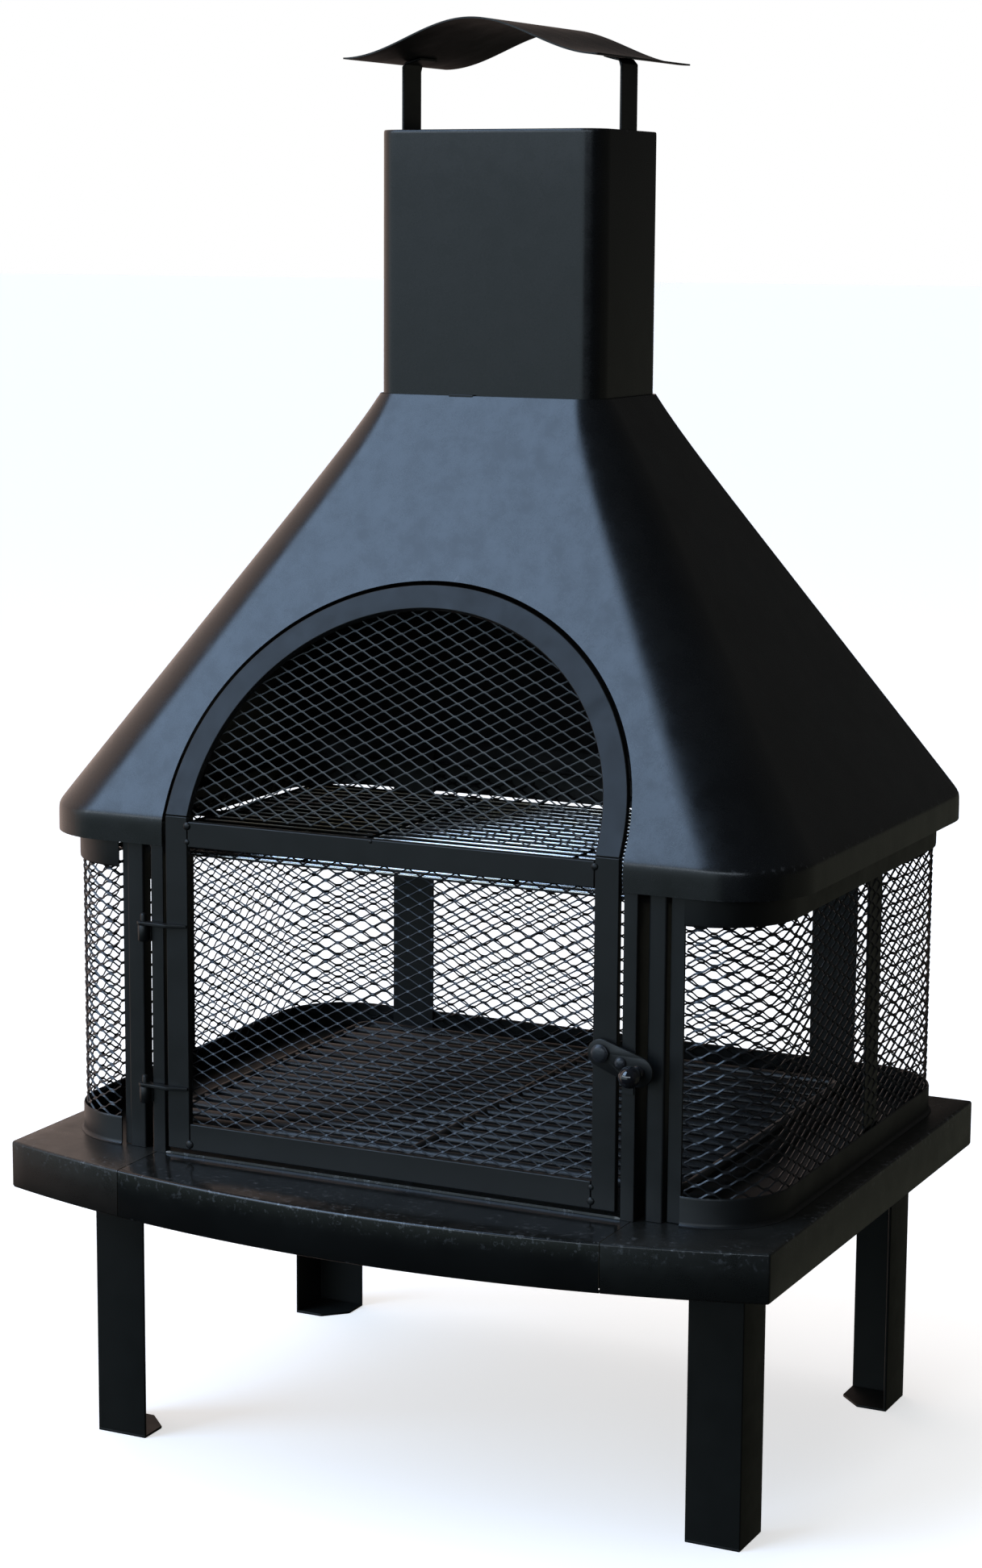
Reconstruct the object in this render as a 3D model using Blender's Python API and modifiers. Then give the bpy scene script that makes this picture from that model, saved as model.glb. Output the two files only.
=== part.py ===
"""Steel chiminea with a wood-burning firebox: legs and deck, mesh firebox screens, a hipped hood with
a chimney and cap, a hinged arched door with a latch, two grates and a slide-out ash pan.
Metres, +Z up, front towards -Y, origin on the floor under the middle of the object's box."""

import math

import bmesh
import bpy
from mathutils import Matrix, Vector

GAP = 0.0003
SHEET = 0.0012
BAR = 0.0020

# Deck: a folded tray with a bowed front edge
DECK_HALF = 0.3225
DECK_FRONT = -0.2121
DECK_BACK = 0.2569
DECK_BOW = 0.0530
DECK_TOP = 0.2536
DECK_DEEP = 0.0385
SEAM_X = 0.2035
LEDGE_BACK = -0.1860
ASH_HOLE = (-0.155, 0.155, -0.125, 0.165)

# Legs
LEG_X = 0.2814
LEG_FRONT = -0.1550
LEG_BACK = 0.2202
FLANGE = 0.0447
LEG_WALL = 0.0025
FOOT = 0.0020
FOOT_CUT = 0.0190

# Firebox: two bands, three mesh screens and the strips that hold them
RING_HALF = 0.3027
RING_FRONT = -0.1809
RING_BACK = 0.2525
RING_R = 0.0624
BAND = 0.0015
BAND_END = 0.2390
LOW_BAND = (DECK_TOP + GAP, 0.2762)
TOP_BAND = (0.4775, 0.5015)
SCREEN = 0.0010
SCREEN_Z = (0.2580, 0.4940)
REAR_POST = (0.1800, 0.2200)
REAR_SEAM = 0.2000
SIDE_STRIP = 0.0300
SIDE_YS = {"left": 0.0150, "right": 0.0630}
ARC_STEPS = 8

# Door opening and door
JAMB = (0.1945, 0.2055)
JAMB_FRONT = -0.1875
JAMB_BACK = -0.1645
POSTS = {"left": (0.2165, 0.2310), "right": (0.2115, 0.2255)}
SCREEN_BARS = {"left": (0.2318, 0.2375), "right": (0.2275, 0.2385)}
POST_Y = (-0.1810, -0.1690)
POST_WALL = 0.0012
UPRIGHT_TOP = 0.5150
DOOR_HALF = 0.1912
DOOR_FRONT = -0.1890
DOOR_THICK = 0.0060
DOOR_BAR = 0.0195
DOOR_BOTTOM = 0.2595
DOOR_BEND = 0.5240
MID_RAIL = (0.5005, 0.5205)
BOTTOM_RAIL = (0.2595, 0.2805)
ARCH_RISE = 0.0106
DOOR_MESH_IN = 0.0022

# Hinges and latch
HINGE_X = -0.2112
HINGE_Y = -0.1895
HINGE_LEAF_Z = (0.3084, 0.4378)
LEAF = 0.0025
PIN_R = 0.0025
BARREL_R = 0.0046
EYE_R = 0.0052
BARREL = 0.0132
PIN_TOP = 0.0075
LATCH_X = 0.1805
LATCH_Z = 0.3800
LATCH_FRONT = -0.1945
LATCH_END = (0.2105, 0.3690)
LATCH_PLATE = 0.0020

# Hood, chimney and cap
HOOD_HALF = 0.3180
HOOD_FRONT = -0.1893
HOOD_BACK = 0.2651
HOOD_R = 0.0650
RIM = (0.4995, 0.5208)
HOOD_TOP = 0.8434
FLUE_HALF = 0.0960
FLUE_DEEP = 0.0600
FLUE_Y = 0.0379
FLUE_R = 0.0180
COLLAR_R = 0.0225
FLUE_Z = (0.8314, 1.0470)
COLLAR = 0.0030
CUT_GAP = 0.0030
CAP_HALF = 0.1075
CAP_DEEP = 0.0880
CAP_Y = 0.0340
CAP_EDGE = 1.1005
CAP_RISE = 0.0285
STRAP = 0.0300
STRAP_LOW = 0.9950

# Grates, brackets and ash pan
COOK_Z = 0.4880
COOK = (-0.2550, 0.2550, -0.1630, 0.1650)
COOK_ROD = 0.0040
FIRE_Z = 0.2640
FIRE = (-0.2300, 0.2300, -0.1480, 0.2080)
FIRE_ROD = 0.0090
PAN = (-0.1780, 0.1780, -0.1856, 0.1700)
PAN_Z = (0.2190, 0.2512)
PAN_SHEET = 0.0010
LIP_HALF = 0.1915

SLOPE = math.atan2(FLUE_Y - FLUE_DEEP - COLLAR - HOOD_FRONT, HOOD_TOP - RIM[1])


def material(name, colour, metallic, roughness):
    """A Principled material of one plain colour."""
    made = bpy.data.materials.new(name)
    made.use_nodes = True
    shader = made.node_tree.nodes["Principled BSDF"]
    shader.inputs["Base Color"].default_value = (*colour, 1.0)
    shader.inputs["Metallic"].default_value = metallic
    shader.inputs["Roughness"].default_value = roughness
    return made


def put(name, mesh, finish, at=(0, 0, 0)):
    """A new object of this mesh in the chiminea collection."""
    obj = bpy.data.objects.new(name, mesh)
    mesh.materials.clear()
    mesh.materials.append(finish)
    obj.location = at
    parts.objects.link(obj)
    return obj


def mesh_of(shape, name):
    """Turns a bmesh into a mesh and frees it."""
    bmesh.ops.recalc_face_normals(shape, faces=shape.faces)
    mesh = bpy.data.meshes.new(name)
    shape.to_mesh(mesh)
    shape.free()
    return mesh


def box(name, low, high, finish, bevel=0.0):
    """A box between two corners, its origin in its middle."""
    middle = (Vector(low) + Vector(high)) / 2
    shape = bmesh.new()
    bmesh.ops.create_cube(shape, size=1)
    bmesh.ops.scale(shape, vec=Vector(high) - Vector(low), verts=shape.verts)
    if bevel:
        bmesh.ops.bevel(shape, geom=shape.edges[:], offset=bevel, segments=1, affect="EDGES")
    return put(name, mesh_of(shape, name), finish, middle)


def rod(name, start, end, radius, finish, sides=16, tip=None):
    """A cylinder between two points, or a cone that ends with the radius tip."""
    start, end = Vector(start), Vector(end)
    shape = bmesh.new()
    bmesh.ops.create_cone(shape, cap_ends=True, segments=sides, radius1=radius,
                          radius2=radius if tip is None else tip, depth=(end - start).length)
    turn = (end - start).to_track_quat("Z", "Y").to_matrix().to_4x4()
    bmesh.ops.transform(shape, matrix=turn, verts=shape.verts)
    mesh = mesh_of(shape, name)
    mesh.shade_smooth()
    mesh.set_sharp_from_angle(angle=math.radians(40))
    return put(name, mesh, finish, (start + end) / 2)


def plate(name, outlines, thick, finish, place):
    """A flat plate from 2D outlines, the first one its edge and the others holes, moved by a matrix."""
    curve = bpy.data.curves.new(name, "CURVE")
    curve.dimensions = "2D"
    curve.fill_mode = "BOTH"
    curve.extrude = thick / 2
    for outline in outlines:
        spline = curve.splines.new("POLY")
        spline.points.add(len(outline) - 1)
        for point, (x, y) in zip(spline.points, outline):
            point.co = (x, y, 0, 1)
        spline.use_cyclic_u = True
    flat = bpy.data.objects.new(name + "_curve", curve)
    parts.objects.link(flat)
    bpy.context.view_layer.update()
    mesh = bpy.data.meshes.new_from_object(flat.evaluated_get(bpy.context.evaluated_depsgraph_get()))
    bpy.data.objects.remove(flat)
    shape = bmesh.new()
    shape.from_mesh(mesh)
    bmesh.ops.remove_doubles(shape, verts=shape.verts, dist=1e-6)
    bpy.data.meshes.remove(mesh)
    obj = put(name, mesh_of(shape, name), finish)
    obj.matrix_world = place
    return obj


def upright(y):
    """Places a 2D outline's X along world X and its Y up, in the plane at this y."""
    return Matrix.Translation((0, y, 0)) @ Matrix.Rotation(math.radians(90), 4, "X")


def sideways(x):
    """Places a 2D outline's X along world Y and its Y up, in the plane at this x."""
    turn = Matrix.Rotation(math.radians(90), 4, "Z") @ Matrix.Rotation(math.radians(90), 4, "X")
    return Matrix.Translation((x, 0, 0)) @ turn


def level(z):
    """Places a 2D outline flat at this height."""
    return Matrix.Translation((0, 0, z))


def combine(target, others, operation, solver="EXACT"):
    """Applies a Boolean with each helper in turn, then removes the helpers."""
    bpy.context.view_layer.update()
    for other in others:
        cut = target.modifiers.new("cut", "BOOLEAN")
        cut.operation = operation
        cut.solver = solver
        cut.object = other
        graph = bpy.context.evaluated_depsgraph_get()
        made = bpy.data.meshes.new_from_object(target.evaluated_get(graph))
        target.modifiers.remove(cut)
        old, target.data = target.data, made
        bpy.data.meshes.remove(old)
        bpy.data.objects.remove(other)
    return target


def join(target, *others):
    return combine(target, others, "UNION")


def cut(target, *others):
    return combine(target, others, "DIFFERENCE")


def arc(x, y, radius, start, end, steps=ARC_STEPS):
    """Points of a circular arc, both ends included, angles in degrees."""
    turns = [math.radians(start + (end - start) * k / steps) for k in range(steps + 1)]
    return [(x + radius * math.cos(t), y + radius * math.sin(t)) for t in turns]


def rectangle(x0, x1, y0, y1):
    return [(x0, y0), (x1, y0), (x1, y1), (x0, y1)]


def rounded(half, front, back, radius, steps=ARC_STEPS):
    """A rounded rectangle, counter-clockwise from its front right corner."""
    corners = ((half, front, 1, 1, -90), (half, back, 1, -1, 0),
               (-half, back, -1, -1, 90), (-half, front, -1, 1, 180))
    return [point for x, y, sx, sy, a in corners
            for point in arc(x - sx * radius, y + sy * radius, radius, a, a + 90, steps)]


def ring_path(inset):
    """The firebox's outline from the front right end round the back to the front left end."""
    loop = rounded(RING_HALF - inset, RING_FRONT + inset, RING_BACK - inset, RING_R - inset)
    return [(BAND_END, RING_FRONT + inset)] + loop + [(-BAND_END, RING_FRONT + inset)]


def wall(name, path, heights, thick, finish, closed=False):
    """A sheet standing on a path, its outer face on the path and its thickness inside."""
    shape = bmesh.new()
    rows = [[shape.verts.new((x, y, z)) for x, y in path] for z in heights]
    count = len(path)
    for low, high in zip(rows, rows[1:]):
        for k in range(count if closed else count - 1):
            nxt = (k + 1) % count
            shape.faces.new((low[k], low[nxt], high[nxt], high[k]))
    mesh = bpy.data.meshes.new(name)
    shape.to_mesh(mesh)
    shape.free()
    obj = put(name, mesh, finish)
    skin = obj.modifiers.new("sheet", "SOLIDIFY")
    skin.thickness = thick
    skin.offset = -1
    skin.use_even_offset = True
    return obj


def settle(obj):
    """Puts the object's modifiers into its mesh, so that it can be cut."""
    bpy.context.view_layer.update()
    made = bpy.data.meshes.new_from_object(obj.evaluated_get(bpy.context.evaluated_depsgraph_get()))
    obj.modifiers.clear()
    obj.data = made
    return obj


def deck_outline(inset, half=DECK_HALF):
    """The deck's outline: straight sides and back, and a front edge that bows forward on one arc."""
    radius = (DECK_HALF**2 + DECK_BOW**2) / (2 * DECK_BOW)
    centre = DECK_FRONT - DECK_BOW + radius
    radius -= inset
    half -= inset
    sweep = math.degrees(math.asin(half / radius))
    return arc(0, centre, radius, 270 - sweep, 270 + sweep, 24)


def make_deck():
    """A folded tray, open below, with a notch for the ash pan's front and a hole over the pan."""
    low = DECK_TOP - DECK_DEEP
    outer = deck_outline(0) + [(DECK_HALF, DECK_BACK), (-DECK_HALF, DECK_BACK)]
    inner = deck_outline(SHEET) + [(DECK_HALF - SHEET, DECK_BACK - SHEET),
                                   (-DECK_HALF + SHEET, DECK_BACK - SHEET)]
    deck = plate("deck", [outer], DECK_DEEP, STEEL, level(DECK_TOP - DECK_DEEP / 2))
    hollow = plate("hollow", [inner], DECK_DEEP, STEEL, level(DECK_TOP - SHEET - DECK_DEEP / 2))
    notch = box("notch", (-SEAM_X, DECK_FRONT - 0.1, low - 0.01), (SEAM_X, LEDGE_BACK + GAP, 0.3), STEEL)
    x0, x1, y0, y1 = ASH_HOLE
    hole = box("hole", (x0, y0, low), (x1, y1, 0.3), STEEL)
    holes = [rod("drill", (x, y, low), (x, y, 0.3), 0.0032, STEEL, 12) for x, y in bolt_places()]
    return cut(deck, hollow, notch, hole, *holes)


def leg_places():
    """Each leg's name, outer corner and the directions in which its flanges run."""
    for side, sx in (("left", -1), ("right", 1)):
        yield "front_" + side, sx * LEG_X, LEG_FRONT, -sx, 1
        yield "rear_" + side, sx * LEG_X, LEG_BACK, -sx, -1


def bolt_places():
    return [(x + dx * FLANGE * 0.6, y + dy * FLANGE * 0.6) for _, x, y, dx, dy in leg_places()]


def make_legs():
    """Four angle legs with a flange under the deck, a foot plate with a cut corner, and a deck bolt."""
    top = DECK_TOP - SHEET - GAP
    for (name, x, y, dx, dy), (bx, by) in zip(leg_places(), bolt_places()):
        angle = [(x, y), (x + dx * FLANGE, y), (x + dx * FLANGE, y + dy * LEG_WALL),
                 (x + dx * LEG_WALL, y + dy * LEG_WALL), (x + dx * LEG_WALL, y + dy * FLANGE),
                 (x, y + dy * FLANGE)]
        low = FOOT + GAP
        leg = plate("leg_" + name, [angle], top - low, STEEL, level((top + low) / 2))
        square = [(x, y), (x + dx * FLANGE, y), (x + dx * FLANGE, y + dy * FLANGE), (x, y + dy * FLANGE)]
        flange = plate("flange", [square], LEG_WALL, STEEL, level(top - LEG_WALL / 2))
        hole = rod("drill", (bx, by, top - 0.01), (bx, by, top + 0.01), 0.0032, STEEL, 12)
        cut(join(leg, flange), hole)
        cut_x, cut_y = x + dx * (FLANGE - FOOT_CUT), y + dy * (FLANGE - FOOT_CUT)
        tread = [(x, y), (x + dx * FLANGE, y), (x + dx * FLANGE, cut_y), (cut_x, y + dy * FLANGE),
                 (x, y + dy * FLANGE)]
        plate("foot_" + name, [tread], FOOT, STEEL, level(FOOT / 2))
        bolt = rod("leg_bolt_" + name, (bx, by, top - 0.008), (bx, by, DECK_TOP + 0.0015), 0.0028, ZINC, 12)
        head = rod("head", (bx, by, DECK_TOP + GAP), (bx, by, DECK_TOP + 0.0028), 0.0055, ZINC, 12, 0.0035)
        join(bolt, head)


def make_bands():
    for name, heights in (("lower_band", LOW_BAND), ("upper_band", TOP_BAND)):
        wall(name, ring_path(0), heights, BAND, STEEL)


def make_screens():
    """Three sheets that stand for the expanded metal, inside the bands."""
    inset = BAND + GAP
    path = ring_path(inset)
    half = len(path) // 2
    right = path[:half] + [(REAR_SEAM + GAP, RING_BACK - inset)]
    left = [(-x, y) for x, y in reversed(right)]
    rear = [(REAR_SEAM - GAP, RING_BACK - inset), (-REAR_SEAM + GAP, RING_BACK - inset)]
    for name, line in (("screen_right", right), ("screen_left", left), ("screen_rear", rear)):
        wall(name, line, SCREEN_Z, SCREEN, MESH)


def make_strips():
    """Flat uprights behind the screens: two wide ones at the back and one on each side."""
    inset = BAND + SCREEN + 2 * GAP
    top = UPRIGHT_TOP - 0.0170
    low = DECK_TOP + GAP
    for side, sx in (("left", -1), ("right", 1)):
        xs = sorted((sx * REAR_POST[0], sx * REAR_POST[1]))
        back = RING_BACK - inset
        box("rear_post_" + side, (xs[0], back - BAR, low), (xs[1], back, UPRIGHT_TOP), STEEL, 0.0005)
        xs = sorted((sx * (RING_HALF - inset), sx * (RING_HALF - inset - BAR)))
        ys = (SIDE_YS[side] - SIDE_STRIP / 2, SIDE_YS[side] + SIDE_STRIP / 2)
        box("side_strip_" + side, (xs[0], ys[0], low), (xs[1], ys[1], top), STEEL, 0.0005)


def make_uprights():
    """On each side of the doorway a tube post, an angle jamb and the flat bar that holds the screen."""
    low = DECK_TOP + GAP
    for side, sx in (("left", -1), ("right", 1)):
        (x0, x1), (y0, y1) = POSTS[side], POST_Y
        outer = [(sx * x, y) for x, y in rectangle(x0, x1, y0, y1)]
        w = POST_WALL
        inner = [(sx * x, y) for x, y in rectangle(x0 + w, x1 - w, y0 + w, y1 - w)]
        plate("post_" + side, [outer, inner], UPRIGHT_TOP - low, STEEL, level((UPRIGHT_TOP + low) / 2))
        x0, x1 = JAMB
        y0, y1 = JAMB_FRONT, JAMB_BACK
        angle = [(x0, y0), (x1, y0), (x1, y1), (x1 - 0.0015, y1), (x1 - 0.0015, y0 + 0.0015),
                 (x0, y0 + 0.0015)]
        angle = [(sx * x, y) for x, y in angle]
        plate("jamb_" + side, [angle], UPRIGHT_TOP - low, STEEL, level((UPRIGHT_TOP + low) / 2))
        xs = sorted(sx * x for x in SCREEN_BARS[side])
        back = RING_FRONT + BAND + SCREEN + 4 * GAP
        box("screen_bar_" + side, (xs[0], back, low), (xs[1], back + BAR, TOP_BAND[1]), STEEL, 0.0005)


def hood_rings():
    """The hood's outlines from the rim's lower edge to the collar, the lowest one first."""
    rim = rounded(HOOD_HALF, HOOD_FRONT, HOOD_BACK, HOOD_R)
    top = rounded(FLUE_HALF + COLLAR, FLUE_Y - FLUE_DEEP - COLLAR, FLUE_Y + FLUE_DEEP + COLLAR,
                  COLLAR_R)
    return [(rim, RIM[0]), (rim, RIM[1]), (top, HOOD_TOP)]


def make_hood():
    """A loft from the rounded rim to the collar, with the arched doorway cut out of its front."""
    shape = bmesh.new()
    rows = [[shape.verts.new((x, y, z)) for x, y in ring] for ring, z in hood_rings()]
    for low, high in zip(rows, rows[1:]):
        for k in range(len(low)):
            nxt = (k + 1) % len(low)
            shape.faces.new((low[k], low[nxt], high[nxt], high[k]))
    mesh = bpy.data.meshes.new("hood")
    shape.to_mesh(mesh)
    shape.free()
    hood = put("hood", mesh, STEEL)
    skin = hood.modifiers.new("sheet", "SOLIDIFY")
    skin.thickness = SHEET
    skin.offset = -1
    skin.use_even_offset = True
    settle(hood)
    half = DOOR_HALF + CUT_GAP
    spring = DOOR_BEND + ARCH_RISE * math.cos(SLOPE)
    dome = [(x, spring + z * math.cos(SLOPE)) for x, z in arc(0, 0, half, 0, 180, 32)]
    outline = [(half, RIM[0] - 0.01)] + dome + [(-half, RIM[0] - 0.01)]
    return cut(hood, plate("doorway", [outline], 0.2300, STEEL, upright(HOOD_FRONT + 0.0600)))


def make_chimney():
    path = rounded(FLUE_HALF, FLUE_Y - FLUE_DEEP, FLUE_Y + FLUE_DEEP, FLUE_R)
    wall("chimney", path, FLUE_Z, SHEET, STEEL, closed=True)


def cap_height(x):
    """The cap's upper side: a raised cosine, flat at both edges and highest in the middle."""
    return CAP_EDGE + CAP_RISE * (1 + math.cos(math.pi * x / CAP_HALF)) / 2


def make_cap():
    """A sheet bent into one wave, and the two flat straps that carry it inside the chimney."""
    steps = 28
    xs = [CAP_HALF * (2 * k / steps - 1) for k in range(steps + 1)]
    upper = [(x, cap_height(x)) for x in xs]
    lower = [(x, z - SHEET) for x, z in reversed(upper)]
    plate("cap", [upper + lower], 2 * CAP_DEEP, STEEL, upright(CAP_Y))
    outer = FLUE_HALF - SHEET - GAP
    tab = [outer - 0.004 * k for k in range(5)]
    under = [(x, cap_height(x) - SHEET - GAP) for x in tab]
    inside = [(x, z - BAR) for x, z in reversed(under[1:])]
    for side, sx in (("left", -1), ("right", 1)):
        outline = [(outer, STRAP_LOW)] + under + inside + [(outer - BAR, STRAP_LOW)]
        outline = [(sx * x, z) for x, z in outline]
        plate("cap_strap_" + side, [outline], STRAP, STEEL, upright(FLUE_Y - 0.004))


def sloped(depth=0.0):
    """Places a 2D outline in the plane of the door's arch, its zero on the bend, depth inwards."""
    tilt = Matrix.Rotation(math.radians(90) - SLOPE, 4, "X")
    return Matrix.Translation((0, DOOR_FRONT, DOOR_BEND)) @ tilt @ Matrix.Translation((0, 0, -depth))


def below_bend(gap):
    """A helper that removes what lies below the mitre between the stiles and the arch."""
    shape = bmesh.new()
    bmesh.ops.create_cube(shape, size=1)
    bmesh.ops.transform(shape, matrix=Matrix.Translation((0, 0, -0.5)), verts=shape.verts)
    helper = put("below", mesh_of(shape, "below"), STEEL)
    turn = Matrix.Rotation(-SLOPE / 2, 4, "X")
    helper.matrix_world = Matrix.Translation((0, DOOR_FRONT, DOOR_BEND + gap)) @ turn
    return helper


def make_door_frame():
    """Two stiles, the arch mitred onto them, two rails, and the sheets that stand for the mesh."""
    back = DOOR_FRONT + DOOR_THICK
    mitre = DOOR_THICK * math.tan(SLOPE / 2)
    side_view = [(DOOR_FRONT, DOOR_BOTTOM), (back, DOOR_BOTTOM), (back, DOOR_BEND - mitre),
                 (DOOR_FRONT, DOOR_BEND)]
    inner = DOOR_HALF - DOOR_BAR
    for side, sx in (("left", -1), ("right", 1)):
        stile = plate("stile_" + side, [side_view], DOOR_BAR, STEEL, sideways(sx * (inner + DOOR_HALF) / 2))
        if sx > 0:
            cut(stile, rod("drill", (LATCH_X, DOOR_FRONT - 0.01, LATCH_Z), (LATCH_X, back + 0.01, LATCH_Z),
                           0.0033, STEEL, 16))
    foot = -0.0060
    outside = [(DOOR_HALF, foot)] + arc(0, ARCH_RISE, DOOR_HALF, 0, 180, 32) + [(-DOOR_HALF, foot)]
    inside = [(inner, foot)] + arc(0, ARCH_RISE, inner, 0, 180, 32) + [(-inner, foot)]
    arch = plate("arch", [outside + inside[::-1]], DOOR_THICK, STEEL, sloped(DOOR_THICK / 2))
    cut(arch, below_bend(GAP))
    span = inner - GAP
    for name, (low, high) in (("mid_rail", MID_RAIL), ("bottom_rail", BOTTOM_RAIL)):
        box(name, (-span, DOOR_FRONT, low), (span, back, high), STEEL, 0.0006)
    edge = inner + DOOR_MESH_IN
    box("door_mesh_lower", (-edge, back + GAP, DOOR_BOTTOM + 0.004),
        (edge, back + GAP + SCREEN, MID_RAIL[1] - 0.004), MESH)
    dome = [(edge, 0.0040)] + arc(0, ARCH_RISE, edge, 0, 180, 24) + [(-edge, 0.0040)]
    plate("door_mesh_upper", [dome], SCREEN, MESH, sloped(DOOR_THICK + GAP + SCREEN / 2))


def make_hinges():
    """Two lift-off hinges: a pin in a barrel on the left jamb, and a leaf on the stile with an eye."""
    for name, z in zip(("lower", "upper"), HINGE_LEAF_Z):
        low, high = z - LEAF / 2 - GAP - BARREL, z - LEAF / 2 - GAP
        arm = box("pintle_" + name, (HINGE_X - 0.0030, HINGE_Y + 0.0020, low),
                  (-JAMB[1] - GAP, HINGE_Y + 0.0110, high), STEEL)
        barrel = rod("barrel", (HINGE_X, HINGE_Y, low), (HINGE_X, HINGE_Y, high), BARREL_R, STEEL, 20)
        pin = rod("pin", (HINGE_X, HINGE_Y, low + 0.002), (HINGE_X, HINGE_Y, z + PIN_TOP), PIN_R, STEEL, 16)
        join(arm, barrel, pin)
        face = DOOR_FRONT - GAP
        eye = arc(HINGE_X, HINGE_Y, EYE_R, 15, 290, 14)
        weld = -DOOR_HALF + DOOR_BAR - 0.0008
        leaf = eye + [(-DOOR_HALF + 0.0030, face - 0.0070), (weld, face - 0.0015), (weld, face),
                      (-DOOR_HALF - 0.0015, face)]
        hole = arc(HINGE_X, HINGE_Y, PIN_R + 0.0003, 0, 337.5, 15)
        plate("hinge_leaf_" + name, [leaf, hole], LEAF, STEEL, level(z))


def teardrop(x0, z0, r0, x1, z1, r1, steps=12):
    """The outline round two circles and their outer tangents, from the first to the second."""
    along = math.degrees(math.atan2(z1 - z0, x1 - x0))
    lean = math.degrees(math.acos((r0 - r1) / math.hypot(x1 - x0, z1 - z0)))
    return (arc(x0, z0, r0, along + lean, along + 360 - lean, steps)
            + arc(x1, z1, r1, along - lean, along + lean, steps))


def make_latch():
    """A drop latch on the right stile: plate with a hook behind it, ball knob, rivet, bolt and keeper."""
    front, back = LATCH_FRONT, LATCH_FRONT + LATCH_PLATE
    drop = teardrop(LATCH_X, LATCH_Z, 0.0105, *LATCH_END, 0.0115)
    eye = arc(LATCH_X, LATCH_Z, 0.0033, 0, 337.5, 15)
    latch = plate("latch_plate", [drop, eye], LATCH_PLATE, STEEL, upright((front + back) / 2))
    tongue_y = (-0.1903, -0.1890)
    bridge = box("bridge", (0.1965, front + 0.0010, 0.3670), (0.2035, tongue_y[1], 0.3710), STEEL)
    tongue = box("tongue", (0.1965, tongue_y[0], 0.3600), (0.2035, tongue_y[1], 0.3705), STEEL)
    join(latch, bridge, tongue)
    base = box("latch_keeper", (0.1955, -0.1889, 0.3500), (0.2045, JAMB_FRONT - GAP, 0.3590), STEEL)
    shelf = box("shelf", (0.1955, -0.1919, 0.3578), (0.2045, -0.1882, 0.3590), STEEL)
    lip = box("lip", (0.1955, -0.1919, 0.3582), (0.2045, -0.1908, 0.3655), STEEL)
    join(base, shelf, lip)
    x, z = LATCH_END
    knob = turned("latch_knob", knob_profile(), GLOSS)
    knob.matrix_world = Matrix.Translation((x, front - GAP, z)) @ Matrix.Rotation(math.radians(90), 4, "X")
    rod("latch_rivet", (0.1965, front - GAP, 0.3745), (0.1965, front - 0.0030, 0.3745), 0.0045, STEEL, 16, 0.003)
    head_y = front - GAP
    bolt = rod("latch_bolt", (LATCH_X, head_y - 0.0020, LATCH_Z), (LATCH_X, DOOR_FRONT + 0.0120, LATCH_Z),
               0.0030, STEEL, 16)
    head = rod("head", (LATCH_X, head_y, LATCH_Z), (LATCH_X, head_y - 0.0042, LATCH_Z), 0.0068, STEEL, 20,
               0.0048)
    nut_y = DOOR_FRONT + DOOR_THICK + GAP
    nut = rod("nut", (LATCH_X, nut_y, LATCH_Z), (LATCH_X, nut_y + 0.0040, LATCH_Z), 0.0056, STEEL, 6)
    join(bolt, head, nut)
    spacer = [arc(LATCH_X, LATCH_Z, r, 0, 337.5, 15) for r in (0.0068, 0.0033)]
    low, high = back + GAP, DOOR_FRONT - GAP
    plate("latch_washer", spacer, high - low, STEEL, upright((low + high) / 2))


def knob_profile():
    """The ball knob's outline from its tip round the ball to its neck: radius and height above the plate."""
    ball, centre, neck = 0.0082, 0.0160, 0.0034
    stop = math.degrees(math.asin(neck / ball))
    sweep = [math.radians(90 - (180 - stop) * k / 14) for k in range(15)]
    return [(ball * math.cos(t), centre + ball * math.sin(t)) for t in sweep] + [(neck, 0.002), (0.0050, 0)]


def turned(name, profile, finish):
    """A solid of revolution about local Z from a profile that runs from the top down."""
    mesh = bpy.data.meshes.new(name)
    points = [(0, 0, profile[0][1])] + [(r, 0, z) for r, z in profile if r > 1e-6] + [(0, 0, profile[-1][1])]
    mesh.from_pydata(points, [(k, k + 1) for k in range(len(points) - 1)], [])
    obj = put(name, mesh, finish)
    spin = obj.modifiers.new("turn", "SCREW")
    spin.steps = spin.render_steps = 20
    spin.use_merge_vertices = True
    spin.merge_threshold = 0.00005
    spin.use_normal_calculate = True
    return obj


def grille(name, limits, rods, width, thick, z, crossbars, finish):
    """A flat frame with bars along X, cut by slots between the bars and the crossbars."""
    x0, x1, y0, y1 = limits
    pitch = (y1 - y0 - width) / (rods - 1)
    stops = [x0 + width] + [x + s * width / 2 for x in crossbars for s in (-1, 1)] + [x1 - width]
    slots = [rectangle(a, b, y0 + width + k * pitch, y0 + (k + 1) * pitch)
             for k in range(rods - 1) for a, b in zip(stops[::2], stops[1::2])]
    return plate(name, [rectangle(x0, x1, y0, y1)] + slots, thick, finish, level(z + thick / 2))


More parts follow.
